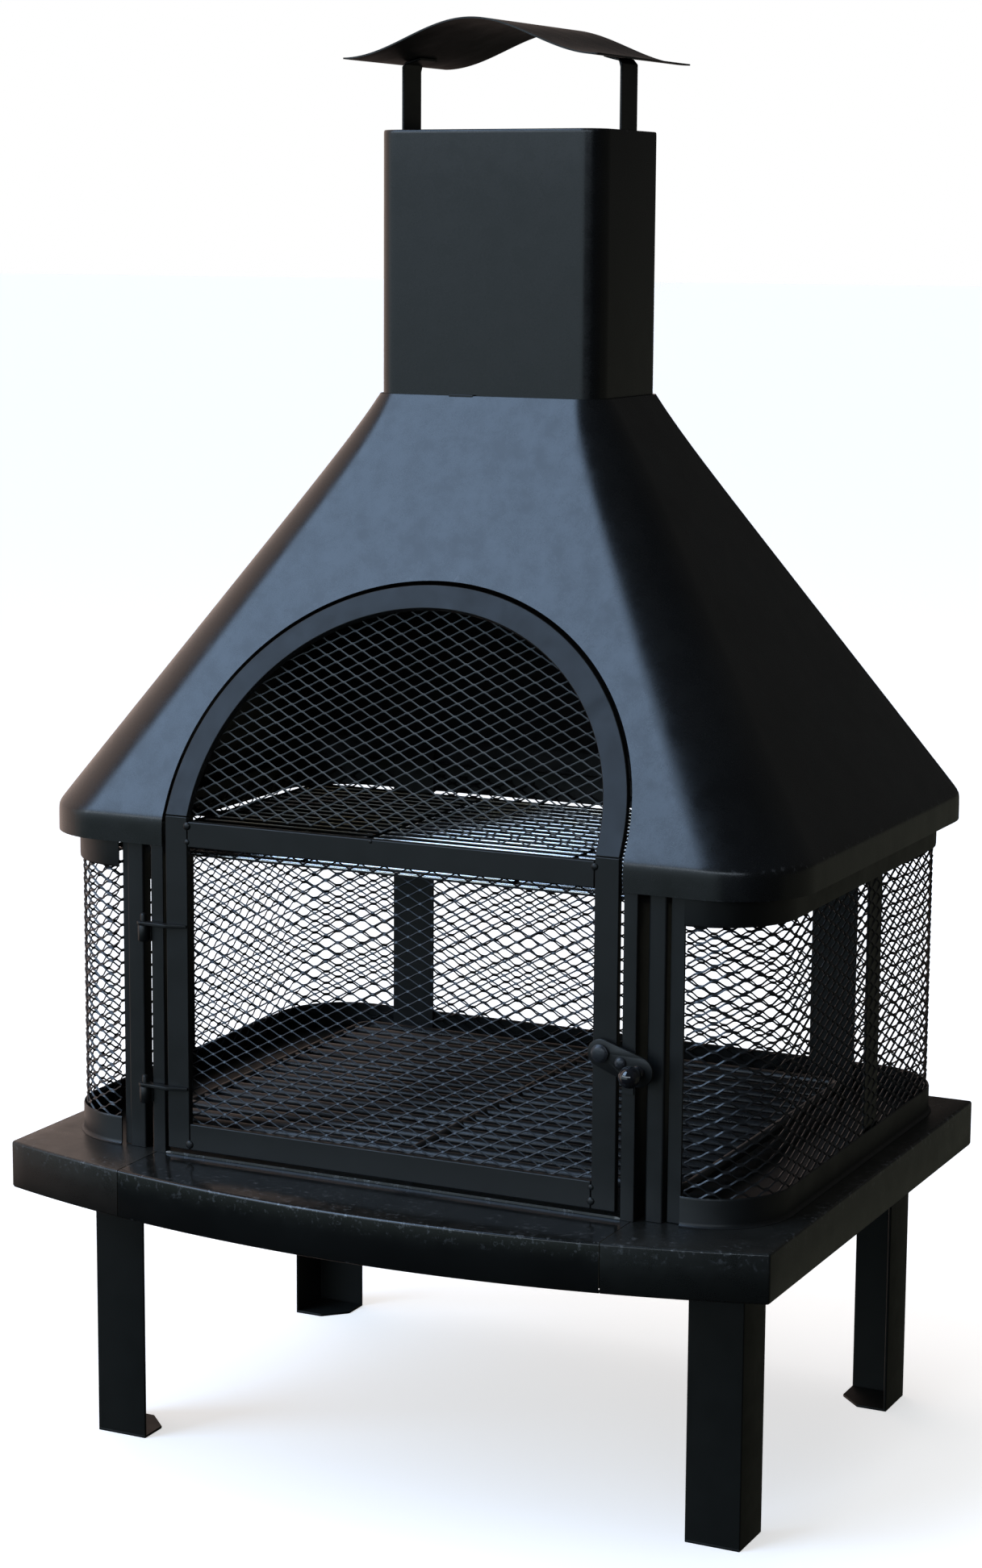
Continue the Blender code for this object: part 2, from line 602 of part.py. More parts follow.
def make_grates():
    """The chrome cooking grate on its four brackets, and the fire grate on its six feet on the deck."""
    grille("cooking_grate", COOK, 22, COOK_ROD, COOK_ROD, COOK_Z, (-0.0900, 0.0900), CHROME)
    fire = grille("fire_grate", FIRE, 17, FIRE_ROD, FIRE_ROD, FIRE_Z, (0.0,), BLACK_ROD)
    low = DECK_TOP + GAP
    x0, x1, y0, y1 = FIRE
    inset = FIRE_ROD / 2
    places = [(x, y) for x in (x0 + inset, 0, x1 - inset) for y in (y0 + inset, y1 - inset)]
    feet = [box("foot", (x - 0.0035, y - 0.0035, low), (x + 0.0035, y + 0.0035, FIRE_Z + 0.003), BLACK_ROD)
            for x, y in places]
    combine(fire, feet, "UNION", "MANIFOLD")
    top = COOK_Z - GAP
    post_back = POST_Y[1] + GAP
    side_face = RING_HALF - BAND - SCREEN - 3 * GAP - BAR
    for side, sx in (("left", -1), ("right", 1)):
        for name, x0, x1, y0, y1 in (("front", *POSTS[side], post_back, post_back + 0.0220),
                                     ("side", 0.2450, side_face, SIDE_YS[side] - 0.0110,
                                      SIDE_YS[side] + 0.0110)):
            xs = sorted((sx * x0, sx * x1))
            shelf = box("bracket_%s_%s" % (name, side), (xs[0], y0, top - 0.0020), (xs[1], y1, top), STEEL)
            if name == "front":
                leg = box("leg", (xs[0], y0, top - 0.0180), (xs[1], y0 + 0.0020, top - 0.001), STEEL)
            else:
                wall_x = sorted((sx * x1, sx * (x1 - 0.0020)))
                leg = box("leg", (wall_x[0], y0, top - 0.0180), (wall_x[1], y1, top - 0.001), STEEL)
            join(shelf, leg)


def make_ash_pan():
    """A tray that slides under the deck on two runners, and its bowed front with the ledge."""
    x0, x1, y0, y1 = PAN
    t = PAN_SHEET
    pan = box("ash_pan", (x0, y0, PAN_Z[0]), (x1, y1, PAN_Z[1]), STEEL)
    cut(pan, box("hollow", (x0 + t, y0 + t, PAN_Z[0] + t), (x1 - t, y1 - t, PAN_Z[1] + t), STEEL))
    half = SEAM_X - 0.0008
    low = DECK_TOP - DECK_DEEP
    outer = deck_outline(0.0, half) + [(half, LEDGE_BACK), (-half, LEDGE_BACK)]
    inner = deck_outline(SHEET, half) + [(half - SHEET, LEDGE_BACK - SHEET),
                                         (-half + SHEET, LEDGE_BACK - SHEET)]
    front = plate("ash_pan_front", [outer], DECK_DEEP, STEEL, level(DECK_TOP - DECK_DEEP / 2))
    hollow = plate("hollow", [inner], DECK_DEEP, STEEL, level(DECK_TOP - SHEET - DECK_DEEP / 2))
    cut(front, hollow)
    join(front, box("lip", (-LIP_HALF, LEDGE_BACK - SHEET, DECK_TOP - 0.002),
                    (LIP_HALF, LEDGE_BACK, DECK_TOP + 0.0022), STEEL))
    for side, sx in (("left", -1), ("right", 1)):
        edge = x1 + 0.0008
        top = DECK_TOP - SHEET - GAP
        foot = PAN_Z[0] - GAP
        angle = [(edge, top), (edge, foot), (edge - 0.0120, foot), (edge - 0.0120, low), (edge + SHEET, low),
                 (edge + SHEET, top)]
        angle = [(sx * x, z) for x, z in angle]
        length = y1 - y0 - 0.0050
        plate("pan_runner_" + side, [angle], length, STEEL, upright(y1 - length / 2))


for old in list(bpy.data.objects):
    bpy.data.objects.remove(old)
parts = bpy.data.collections.new("chiminea")
bpy.context.scene.collection.children.link(parts)

STEEL = material("black_stove_paint", (0.018, 0.020, 0.022), 0.0, 0.38)
GLOSS = material("black_gloss_knob", (0.012, 0.013, 0.016), 0.0, 0.12)
MESH = material("painted_expanded_metal", (0.020, 0.021, 0.023), 0.0, 0.42)
BLACK_ROD = material("black_fire_grate", (0.014, 0.014, 0.015), 0.0, 0.30)
CHROME = material("chrome_wire", (0.70, 0.71, 0.73), 1.0, 0.18)
ZINC = material("blackened_bolt", (0.045, 0.046, 0.050), 0.8, 0.40)

make_deck()
make_legs()
make_bands()
make_screens()
make_strips()
make_uprights()
make_hood()
make_chimney()
make_cap()
make_door_frame()
make_hinges()
make_latch()
make_grates()
make_ash_pan()
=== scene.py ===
"""Looks of the steel chiminea: every sheet, bar, wire and fastener as a worked-out surface with a
procedural finish, in metres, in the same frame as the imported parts."""

import math

import bmesh
import bpy
import numpy as np
from mathutils import Matrix, Vector


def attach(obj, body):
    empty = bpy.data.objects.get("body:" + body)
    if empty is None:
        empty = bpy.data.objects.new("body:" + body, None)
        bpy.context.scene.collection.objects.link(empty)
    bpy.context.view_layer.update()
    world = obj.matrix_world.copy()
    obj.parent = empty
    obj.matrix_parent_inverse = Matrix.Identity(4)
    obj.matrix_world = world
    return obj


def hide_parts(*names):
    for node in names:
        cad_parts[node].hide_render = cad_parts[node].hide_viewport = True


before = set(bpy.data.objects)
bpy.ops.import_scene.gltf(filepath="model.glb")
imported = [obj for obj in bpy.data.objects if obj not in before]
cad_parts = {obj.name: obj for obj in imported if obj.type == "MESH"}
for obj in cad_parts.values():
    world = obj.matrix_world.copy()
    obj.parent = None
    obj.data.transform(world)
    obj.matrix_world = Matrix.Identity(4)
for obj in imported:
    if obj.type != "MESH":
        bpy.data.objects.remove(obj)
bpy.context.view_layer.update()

# Sheet gauges and fits
SHEET = 0.0012
BAR = 0.0020
GAP = 0.0003
FOLD = 0.0022

# Deck and ash pan front
DECK_HALF = 0.3225
DECK_FRONT = -0.2121
DECK_BACK = 0.2569
DECK_BOW = 0.0530
DECK_TOP = 0.2536
DECK_LOW = 0.2151
SEAM_X = 0.2035
LEDGE_BACK = -0.1860
LIP_HALF = 0.1915
ASH_HOLE_HALF, ASH_HOLE_FRONT, ASH_HOLE_BACK = 0.1550, -0.1250, 0.1650
BOW_R = (DECK_HALF**2 + DECK_BOW**2) / (2 * DECK_BOW)
BOW_Y = DECK_FRONT - DECK_BOW + BOW_R

# Legs
LEG_X = 0.2814
LEG_FRONT = -0.1550
LEG_BACK = 0.2202
FLANGE = 0.0447
LEG_WALL = 0.0025
FOOT = 0.0020
FOOT_CUT = 0.0190

# Firebox
RING_HALF = 0.3027
RING_FRONT = -0.1809
RING_BACK = 0.2525
RING_R = 0.0624
BAND = 0.0015
BAND_END = 0.2390
LOW_BAND_TOP = 0.2762
TOP_BAND_LOW, TOP_BAND_TOP = 0.4775, 0.5015
SCREEN_TUCK = BAND + 0.0016
SCREEN_LOW, SCREEN_HIGH = 0.2580, 0.4940
REAR_SEAM = 0.2000
UPRIGHT_TOP = 0.5150
REAR_POST = (0.1800, 0.2200)
JAMB = (0.1945, 0.2055)
JAMB_FRONT, JAMB_BACK = -0.1875, -0.1645
JAMB_WALL = 0.0015
POST_FRONT, POST_BACK = -0.1810, -0.1690
POST_WALL = 0.0012
POSTS = {"left": (0.2165, 0.2310), "right": (0.2115, 0.2255)}
SCREEN_BARS = {"left": (0.2318, 0.2375), "right": (0.2275, 0.2385)}
SIDE_YS = {"left": 0.0150, "right": 0.0630}
SIDE_STRIP = 0.0300

# Door
DOOR_HALF = 0.1912
DOOR_FRONT = -0.1890
DOOR_THICK = 0.0060
DOOR_BAR = 0.0195
DOOR_BOTTOM = 0.2595
DOOR_BEND = 0.5240
MID_RAIL = (0.5005, 0.5205)
BOTTOM_RAIL = (0.2595, 0.2805)
ARCH_RISE = 0.0106
HINGE_X = -0.2112
HINGE_Y = -0.1895
HINGE_LEAF_Z = {"lower": 0.3084, "upper": 0.4378}
LEAF = 0.0025
PIN_R, BARREL_R, EYE_R = 0.0025, 0.0046, 0.0052
BARREL = 0.0132
LATCH_X = 0.1805
LATCH_Z = 0.3800
LATCH_FRONT = -0.1945
LATCH_END = (0.2105, 0.3690)
LATCH_PLATE = 0.0020
RIVET_AT = (0.1965, 0.3745)

# Hood, chimney and cap
HOOD_HALF = 0.3180
HOOD_FRONT = -0.1893
HOOD_BACK = 0.2651
HOOD_R = 0.0650
RIM_LOW, RIM_TOP = 0.4995, 0.5208
HOOD_TOP = 0.8434
FLUE_HALF = 0.0960
FLUE_DEEP = 0.0600
FLUE_Y = 0.0379
FLUE_R = 0.0180
COLLAR_R = 0.0225
FLUE_LOW, FLUE_HIGH = 0.8314, 1.0470
COLLAR = 0.0030
CUT_HALF = DOOR_HALF + 0.0030
CAP_HALF = 0.1075
CAP_DEEP = 0.0880
CAP_Y = 0.0340
CAP_EDGE = 1.1005
CAP_RISE = 0.0285
STRAP = 0.0300
STRAP_LOW = 0.9950
SLOPE = math.atan2(FLUE_Y - FLUE_DEEP - COLLAR - HOOD_FRONT, HOOD_TOP - RIM_TOP)

# Grates and ash pan
COOK_X, COOK_FRONT, COOK_BACK, COOK_Z = 0.2550, -0.1630, 0.1650, 0.4880
FIRE_X, FIRE_FRONT, FIRE_BACK, FIRE_Z = 0.2300, -0.1480, 0.2080, 0.2640
PAN_X, PAN_FRONT, PAN_BACK = 0.1780, -0.1856, 0.1700
PAN_LOW, PAN_TOP = 0.2190, 0.2512


# ---------------------------------------------------------------- surfaces

def quads(rows, columns, close_rows=False, close_columns=False):
    """Faces of a grid whose point in row r and column c has the index r * columns + c."""
    r, c = np.meshgrid(np.arange(rows if close_rows else rows - 1),
                       np.arange(columns if close_columns else columns - 1), indexing="ij")
    r_next, c_next = (r + 1) % rows, (c + 1) % columns
    return np.stack([r * columns + c, r * columns + c_next, r_next * columns + c_next, r_next * columns + c],
                    -1).reshape(-1, 4)


def grid(points, close_rows=False, close_columns=False):
    """A patch from a (rows, columns, 3) array of points."""
    rows, columns = points.shape[:2]
    return points.reshape(-1, 3), [quads(rows, columns, close_rows, close_columns)]


def skin(rings, loop=False):
    """A closed patch through closed rings (rows, columns, 3): each ring is joined to the next, and the
    end rings are filled, or with loop the last ring is joined to the first."""
    rows, columns = rings.shape[:2]
    faces = [quads(rows, columns, loop, True)]
    if not loop:
        first = np.arange(columns)
        faces += [first[None, ::-1], (first + (rows - 1) * columns)[None, :]]
    return rings.reshape(-1, 3), faces


def block(low, high):
    """A patch of six faces between two corners."""
    low, high = np.array(low, float), np.array(high, float)
    pick = np.array([[0, 0, 0], [1, 0, 0], [1, 1, 0], [0, 1, 0], [0, 0, 1], [1, 0, 1], [1, 1, 1], [0, 1, 1]])
    faces = np.array([[3, 2, 1, 0], [4, 5, 6, 7], [0, 1, 5, 4], [1, 2, 6, 5], [2, 3, 7, 6], [3, 0, 4, 7]])
    return low + pick * (high - low), [faces]


def mirrored(patch):
    """The same patch on the other side of the plane x = 0, its faces turned to point outwards again."""
    points, faces = patch
    return points * np.array([-1.0, 1.0, 1.0]), [f[:, ::-1] for f in faces]


def fillet(corners, setback, steps=3):
    """A closed 2D outline whose corners are rounded: each corner becomes the parabola between the two
    points that lie the setback away from it on its sides."""
    corners = np.array(corners, float)
    back, ahead = np.roll(corners, 1, 0) - corners, np.roll(corners, -1, 0) - corners
    back = back / np.linalg.norm(back, axis=1, keepdims=True) * setback
    ahead = ahead / np.linalg.norm(ahead, axis=1, keepdims=True) * setback
    t = np.linspace(0, 1, steps + 1)[None, :, None]
    bend = corners[:, None] + back[:, None] * (1 - t)**2 + ahead[:, None] * t**2
    return bend.reshape(-1, 2)


def prism(outline, levels, insets=None):
    """Rings of one 2D outline at several heights; an inset moves a ring towards its middle."""
    outline = np.array(outline, float)
    insets = np.zeros(len(levels)) if insets is None else np.array(insets, float)
    away = outline - outline.mean(0)
    away = away / np.linalg.norm(away, axis=1, keepdims=True)
    flat = outline[None] - away[None] * insets[:, None, None]
    height = np.broadcast_to(np.array(levels, float)[:, None, None], flat.shape[:2] + (1,))
    return np.concatenate([flat, height], -1)


def turned(profile, steps=28):
    """A solid of revolution about Z: each (radius, height) of the profile, listed upwards, is a ring."""
    profile = np.array(profile, float)
    turn = np.linspace(0, 2 * np.pi, steps, endpoint=False)
    ring = np.stack([np.cos(turn), np.sin(turn)], -1)
    flat = profile[:, None, :1] * ring[None]
    height = np.broadcast_to(profile[:, None, 1:], flat.shape[:2] + (1,))
    return skin(np.concatenate([flat, height], -1))


def dome(radius, rise, low=0.0, steps=5):
    """The profile of a domed head: an elliptic arc from the rim at its foot to the middle of its top."""
    t = np.linspace(0, np.pi / 2, steps)
    return np.stack([radius * np.cos(t) + 0.02 * radius, low + rise * np.sin(t)], -1)


def rods(starts, ends, radius, sides=10, dome_rows=2):
    """Many straight round rods at once, from two (n, 3) arrays: rings square to each axis, with the ends
    drawn in to a blunt tip over half a radius."""
    starts, ends = np.atleast_2d(starts).astype(float), np.atleast_2d(ends).astype(float)
    axis = ends - starts
    length = np.linalg.norm(axis, axis=1, keepdims=True)
    axis = axis / length
    side = np.where(np.abs(axis[:, 2:]) < 0.9, np.array([[0.0, 0, 1]]), np.array([[1.0, 0, 0]]))
    u = np.cross(axis, side)
    u = u / np.linalg.norm(u, axis=1, keepdims=True)
    v = np.cross(axis, u)
    t = np.linspace(0, np.pi / 2, dome_rows + 1)
    drawn = 0.5 * radius * (1 - np.sin(t))
    wide = np.concatenate([radius * (0.4 + 0.6 * np.cos(t[::-1])), radius * (0.4 + 0.6 * np.cos(t))])
    along = np.concatenate([drawn[::-1], -drawn])
    origin = np.concatenate([np.repeat(starts[:, None], dome_rows + 1, 1),
                             np.repeat(ends[:, None], dome_rows + 1, 1)], 1)
    a = np.linspace(0, 2 * np.pi, sides, endpoint=False)
    ring = (u[:, None, None] * np.cos(a)[None, None, :, None] +
            v[:, None, None] * np.sin(a)[None, None, :, None])
    points = (origin + axis[:, None] * along[None, :, None])[:, :, None] + ring * wide[None, :, None, None]
    count, rows = points.shape[:2]
    shift = (np.arange(count) * rows * sides)[:, None, None]
    body = (quads(rows, sides, False, True)[None] + shift).reshape(-1, 4)
    first = (np.arange(sides)[None, None, ::-1] + shift).reshape(-1, sides)
    last = (np.arange(sides)[None, None] + (rows - 1) * sides + shift).reshape(-1, sides)
    return points.reshape(-1, 3), [body, first, last]


def tube(path, radius, sides=12, closed=False):
    """A round tube along a (n, 3) path in a level or upright plane: rings square to the path."""
    path = np.array(path, float)
    ahead = np.roll(path, -1, 0) - path if closed else np.gradient(path, axis=0)
    if closed:
        ahead = ahead + np.roll(ahead, 1, 0)
    ahead = ahead / np.linalg.norm(ahead, axis=1, keepdims=True)
    flat = np.linalg.svd(path - path.mean(0))[2][2]
    side = np.cross(ahead, flat)
    a = np.linspace(0, 2 * np.pi, sides, endpoint=False)[None, :, None]
    return skin(path[:, None] + radius * (np.cos(a) * side[:, None] + np.sin(a) * flat), loop=closed)


def cast(outline, centre, angles):
    """The points where rays from a centre, at these angles, leave a 2D outline that is star-shaped."""
    a = np.array(outline, float) - centre
    b = np.roll(a, -1, 0)
    ray = np.stack([np.cos(angles), np.sin(angles)], -1)[:, None]
    edge = (b - a)[None]
    across = ray[..., 0] * edge[..., 1] - ray[..., 1] * edge[..., 0]
    across = np.where(np.abs(across) < 1e-12, 1e-12, across)
    far = (a[None, :, 0] * edge[..., 1] - a[None, :, 1] * edge[..., 0]) / across
    share = (a[None, :, 0] * ray[..., 1] - a[None, :, 1] * ray[..., 0]) / across
    hit = (share > -1e-6) & (share < 1 + 1e-6) & (far > 0)
    far = np.where(hit, far, -1).max(1)
    return np.array(centre) + far[:, None] * ray[:, 0]


def pierced(outline, centre, hole, low, high, edge):
    """A plate with a round hole and eased edges: one closed loop of rings that runs from the hole's lower
    rim out to the outline, up its edge and back to the hole's upper rim."""
    corners = np.array(outline, float) - centre
    own = np.arctan2(corners[:, 1], corners[:, 0])
    angles = np.unique(np.round(np.concatenate([own, np.linspace(-np.pi, np.pi, 24, endpoint=False)]), 4))
    far = cast(outline, centre, angles)
    inwards = (np.array(centre) - far) / np.linalg.norm(far - centre, axis=1, keepdims=True)
    near = np.array(centre) + hole * np.stack([np.cos(angles), np.sin(angles)], -1)
    steps = [(near, low), (far + inwards * edge, low), (far + inwards * edge * 0.3, low + edge * 0.3),
             (far, low + edge), (far, high - edge), (far + inwards * edge * 0.3, high - edge * 0.3),
             (far + inwards * edge, high), (near, high)]
    rings = [np.concatenate([flat, np.full((len(flat), 1), z)], 1) for flat, z in steps]
    return skin(np.stack(rings), loop=True)


def hoop(half, front, back, radius, z, steps=14):
    """Rounded rectangles, one row for each height: column by column round the four corners, from the front
    right one to the front left one. Half width, front, back and radius may change with the height."""
    turn = np.linspace(0, np.pi / 2, steps + 1)
    angle = np.concatenate([turn - np.pi / 2, turn, turn + np.pi / 2, turn + np.pi])[None]
    side = np.repeat([1.0, 1.0, -1.0, -1.0], steps + 1)[None]
    rear = np.repeat([0.0, 1.0, 1.0, 0.0], steps + 1)[None]
    half, front, back, radius, z = (np.atleast_1d(np.array(k, float))[:, None] for k in
                                    (half, front, back, radius, z))
    x = side * (half - radius) + radius * np.cos(angle)
    y = (1 - rear) * (front + radius) + rear * (back - radius) + radius * np.sin(angle)
    return np.stack(np.broadcast_arrays(x, y, z), -1)


def piece(name, body, nodes, patches, finish, solid=True, sheet=0.0, bevel=0.0, sharp=34.0, inner=None,
          edge=None):
    """Makes one object from patches, welds its seams, gives it its wall or its eased edges and its finish,
    and ties it to its body, hiding the imported parts that it stands for. A sheet's open edges are sharp, so
    that its wall doesn't pull the shading round them. The edge values say where the paint is lightened: by
    real rubbing, and along folds as a painted highlight."""
    mesh = bpy.data.meshes.new(name)
    starts = np.cumsum([0] + [len(points) for points, _ in patches[:-1]])
    points = np.concatenate([points for points, _ in patches])
    faces = [f + start for (_, group), start in zip(patches, starts) for f in group]
    corners = np.concatenate([f.ravel() for f in faces])
    sizes = np.concatenate([np.full(len(f), f.shape[1]) for f in faces])
    mesh.vertices.add(len(points))
    mesh.vertices.foreach_set("co", points.astype(np.float32).ravel())
    mesh.loops.add(len(corners))
    mesh.loops.foreach_set("vertex_index", corners.astype(np.int32))
    mesh.polygons.add(len(sizes))
    mesh.polygons.foreach_set("loop_start", (np.cumsum(sizes) - sizes).astype(np.int32))
    mesh.update(calc_edges=True)
    if edge is not None:
        rub_and_highlight = mesh.attributes.new("edge", "FLOAT", "POINT")
        rub_and_highlight.data.foreach_set("value", np.concatenate(edge).astype(np.float32))
    shape = bmesh.new()
    shape.from_mesh(mesh)
    bmesh.ops.remove_doubles(shape, verts=shape.verts, dist=2e-6)
    bmesh.ops.delete(shape, geom=[v for v in shape.verts if not v.link_faces], context="VERTS")
    if solid:
        bmesh.ops.recalc_face_normals(shape, faces=shape.faces)
    shape.edges.index_update()
    is_open = [len(line.link_faces) == 1 for line in shape.edges]
    shape.to_mesh(mesh)
    shape.free()
    mesh.shade_smooth()
    obj = bpy.data.objects.new(name, mesh)
    bpy.context.scene.collection.objects.link(obj)
    mesh.materials.append(finish)
    if inner:
        mesh.materials.append(inner)
    if sheet:
        mesh.set_sharp_from_angle(angle=math.radians(sharp))
        for rim in mesh.edges:
            rim.use_edge_sharp = rim.use_edge_sharp or is_open[rim.index]
        wall = obj.modifiers.new("sheet", "SOLIDIFY")
        wall.thickness = sheet
        wall.offset = -1
        wall.use_even_offset = True
        wall.material_offset = 1 if inner else 0
    if bevel:
        ease = obj.modifiers.new("eased_edges", "BEVEL")
        ease.width = bevel
        ease.segments = 2
        ease.limit_method = "ANGLE"
        ease.angle_limit = math.radians(sharp)
        ease.harden_normals = True
    elif not sheet:
        mesh.set_sharp_from_angle(angle=math.radians(sharp))
    if nodes:
        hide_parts(*nodes)
    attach(obj, body)
    return obj


# ---------------------------------------------------------------- finishes

class Net:
    """Short words for adding nodes to one tree."""

    def __init__(self, tree):
        self.tree = tree

    def add(self, kind, takes=(), **settings):
        made = self.tree.nodes.new(kind)
        for key, value in settings.items():
            setattr(made, key, value)
        for key, value in dict(takes).items():
            socket = made.inputs[key]
            if isinstance(value, bpy.types.NodeSocket):
                self.tree.links.new(value, socket)
            else:
                socket.default_value = value
        return made

    def place(self):
        return self.add("ShaderNodeTexCoord").outputs["Object"]

    def noise(self, scale, detail=2.0, rough=0.5, vector=None):
        takes = {"Vector": vector or self.place(), "Scale": scale, "Detail": detail, "Roughness": rough}
        return self.add("ShaderNodeTexNoise", takes).outputs["Fac"]

    def math(self, operation, a, b=0.0, clamp=False):
        return self.add("ShaderNodeMath", {0: a, 1: b}, operation=operation, use_clamp=clamp).outputs[0]

    def ramp(self, value, low, high, to_low=0.0, to_high=1.0):
        takes = {"Value": value, "From Min": low, "From Max": high, "To Min": to_low, "To Max": to_high}
        return self.add("ShaderNodeMapRange", takes, clamp=True).outputs["Result"]

    def mix(self, share, a, b):
        node = self.add("ShaderNodeMix", {0: share}, data_type="RGBA")
        for socket, value in ((node.inputs[6], a), (node.inputs[7], b)):
            if isinstance(value, bpy.types.NodeSocket):
                self.tree.links.new(value, socket)
            else:
                socket.default_value = (*value, 1.0)
        return node.outputs[2]

    def use(self, group, **takes):
        node = self.add("ShaderNodeGroup", node_tree=group)
        for key, value in takes.items():
            socket = node.inputs[key]
            if isinstance(value, bpy.types.NodeSocket):
                self.tree.links.new(value, socket)
            else:
                socket.default_value = (*value, 1.0) if isinstance(value, tuple) else value
        return node.outputs


def group(name, takes, gives):
    """An empty node group with its sockets: returns its net, its input sockets and its output node."""
    tree = bpy.data.node_groups.new(name, "ShaderNodeTree")
    kinds = {"colour": "NodeSocketColor", "value": "NodeSocketFloat"}
    for label, kind in takes:
        tree.interface.new_socket(label, in_out="INPUT", socket_type=kinds[kind])
    for label, kind in gives:
        tree.interface.new_socket(label, in_out="OUTPUT", socket_type=kinds[kind])
    return Net(tree), tree.nodes.new("NodeGroupInput").outputs, tree.nodes.new("NodeGroupOutput").inputs


def sprayed_paint():
    """Sprayed stove paint: orange peel of about a millimetre, a finer grain, long waves where the sheet
    isn't quite flat, and a slow drift of shade and gloss."""
    net, takes, gives = group("sprayed_paint",
                              (("Color", "colour"), ("Roughness", "value"), ("Peel", "value"),
                                                ("Wave", "value")),
                              (("Color", "colour"), ("Roughness", "value"), ("Height", "value")))
    peel, grain = net.noise(620.0, 2.0), net.noise(2400.0, 1.0)
    wave, drift, streak = net.noise(7.0, 1.5), net.noise(16.0, 3.0), net.noise(55.0, 4.0, 0.6)
    shade = net.ramp(drift, 0.3, 0.7, 0.82, 1.22)
    scaled = net.add("ShaderNodeVectorMath", {0: takes["Color"], "Scale": shade},
                     operation="SCALE").outputs[0]
    net.tree.links.new(scaled, gives["Color"])
    gloss = net.math("ADD", net.ramp(streak, 0.3, 0.7, -0.045, 0.045),
                     net.ramp(grain, 0.3, 0.7, -0.03, 0.03))
    net.tree.links.new(net.math("ADD", takes["Roughness"], gloss, clamp=True), gives["Roughness"])
    fine = net.math("MULTIPLY", net.math("ADD", peel, net.math("MULTIPLY", grain, 0.25)), takes["Peel"])
    long = net.math("MULTIPLY", wave, takes["Wave"])
    net.tree.links.new(net.math("ADD", fine, long), gives["Height"])
    return net.tree


def settled_dust():
    """Ash dust that lies on what faces up, in soft patches with a few specks."""
    net, takes, gives = group("settled_dust",
                              (("Color", "colour"), ("Roughness", "value"), ("Amount", "value")),
                              (("Color", "colour"), ("Roughness", "value")))
    normal = net.add("ShaderNodeNewGeometry").outputs["Normal"]
    up = net.ramp(net.add("ShaderNodeSeparateXYZ", {0: normal}).outputs["Z"], 0.35, 0.95)
    patches = net.ramp(net.noise(14.0, 6.0, 0.65), 0.38, 0.72, 0.15, 1.0)
    specks = net.ramp(net.noise(330.0, 3.0, 0.6), 0.66, 0.72)
    spread = net.math("ADD", net.math("MULTIPLY", patches, 0.6), specks, clamp=True)
    mask = net.math("MULTIPLY", net.math("MULTIPLY", up, spread), takes["Amount"], clamp=True)
    net.tree.links.new(net.mix(mask, takes["Color"], (0.135, 0.125, 0.110)), gives["Color"])
    rougher = net.math("ADD", takes["Roughness"], net.math("MULTIPLY", mask, 0.5), clamp=True)
    net.tree.links.new(rougher, gives["Roughness"])
    return net.tree


def rubbed_edge_and_fold_highlight():
    """Paint lightened and made metallic along folds and rims, partly by real rubbing and partly as a painted
    highlight on the folds: the piece's own edge mask broken up by a fine noise.
    """
    net, takes, gives = group("rubbed_edge_and_fold_highlight", (("Color", "colour"), ("Roughness", "value"),
                                              ("Amount", "value")),
                              (("Color", "colour"), ("Roughness", "value"), ("Metal", "value")))
    edge = net.add("ShaderNodeAttribute", attribute_name="edge").outputs["Fac"]
    broken = net.ramp(net.noise(210.0, 4.0, 0.7), 0.56, 0.70)
    mask = net.math("MULTIPLY", net.math("MULTIPLY", edge, broken), takes["Amount"], clamp=True)
    net.tree.links.new(net.mix(mask, takes["Color"], (0.20, 0.205, 0.215)), gives["Color"])
    net.tree.links.new(net.math("SUBTRACT", takes["Roughness"], net.math("MULTIPLY", mask, 0.1)),
                       gives["Roughness"])
    net.tree.links.new(mask, gives["Metal"])
    return net.tree


def soot():
    """Soot and grey ash from the fire, in soft clouds with a matte skin."""
    net, takes, gives = group("soot", (("Color", "colour"), ("Roughness", "value"), ("Amount", "value")),
                              (("Color", "colour"), ("Roughness", "value"), ("Height", "value")))
    cloud = net.ramp(net.noise(11.0, 5.0, 0.6), 0.35, 0.7)
    crumbs = net.noise(420.0, 4.0, 0.7)
    mask = net.math("MULTIPLY", cloud, takes["Amount"], clamp=True)
    ash = net.mix(net.ramp(net.noise(37.0, 5.0, 0.65), 0.5, 0.72), (0.006, 0.006, 0.006),
                  (0.030, 0.028, 0.026))
    net.tree.links.new(net.mix(mask, takes["Color"], ash), gives["Color"])
    net.tree.links.new(net.math("ADD", takes["Roughness"], net.math("MULTIPLY", mask, 0.35), clamp=True),
                       gives["Roughness"])
    net.tree.links.new(net.math("MULTIPLY", net.math("MULTIPLY", crumbs, mask), 0.00012), gives["Height"])
    return net.tree


PAINT, DUST, RUB_AND_HIGHLIGHT, SOOT = sprayed_paint(), settled_dust(), rubbed_edge_and_fold_highlight(), soot()


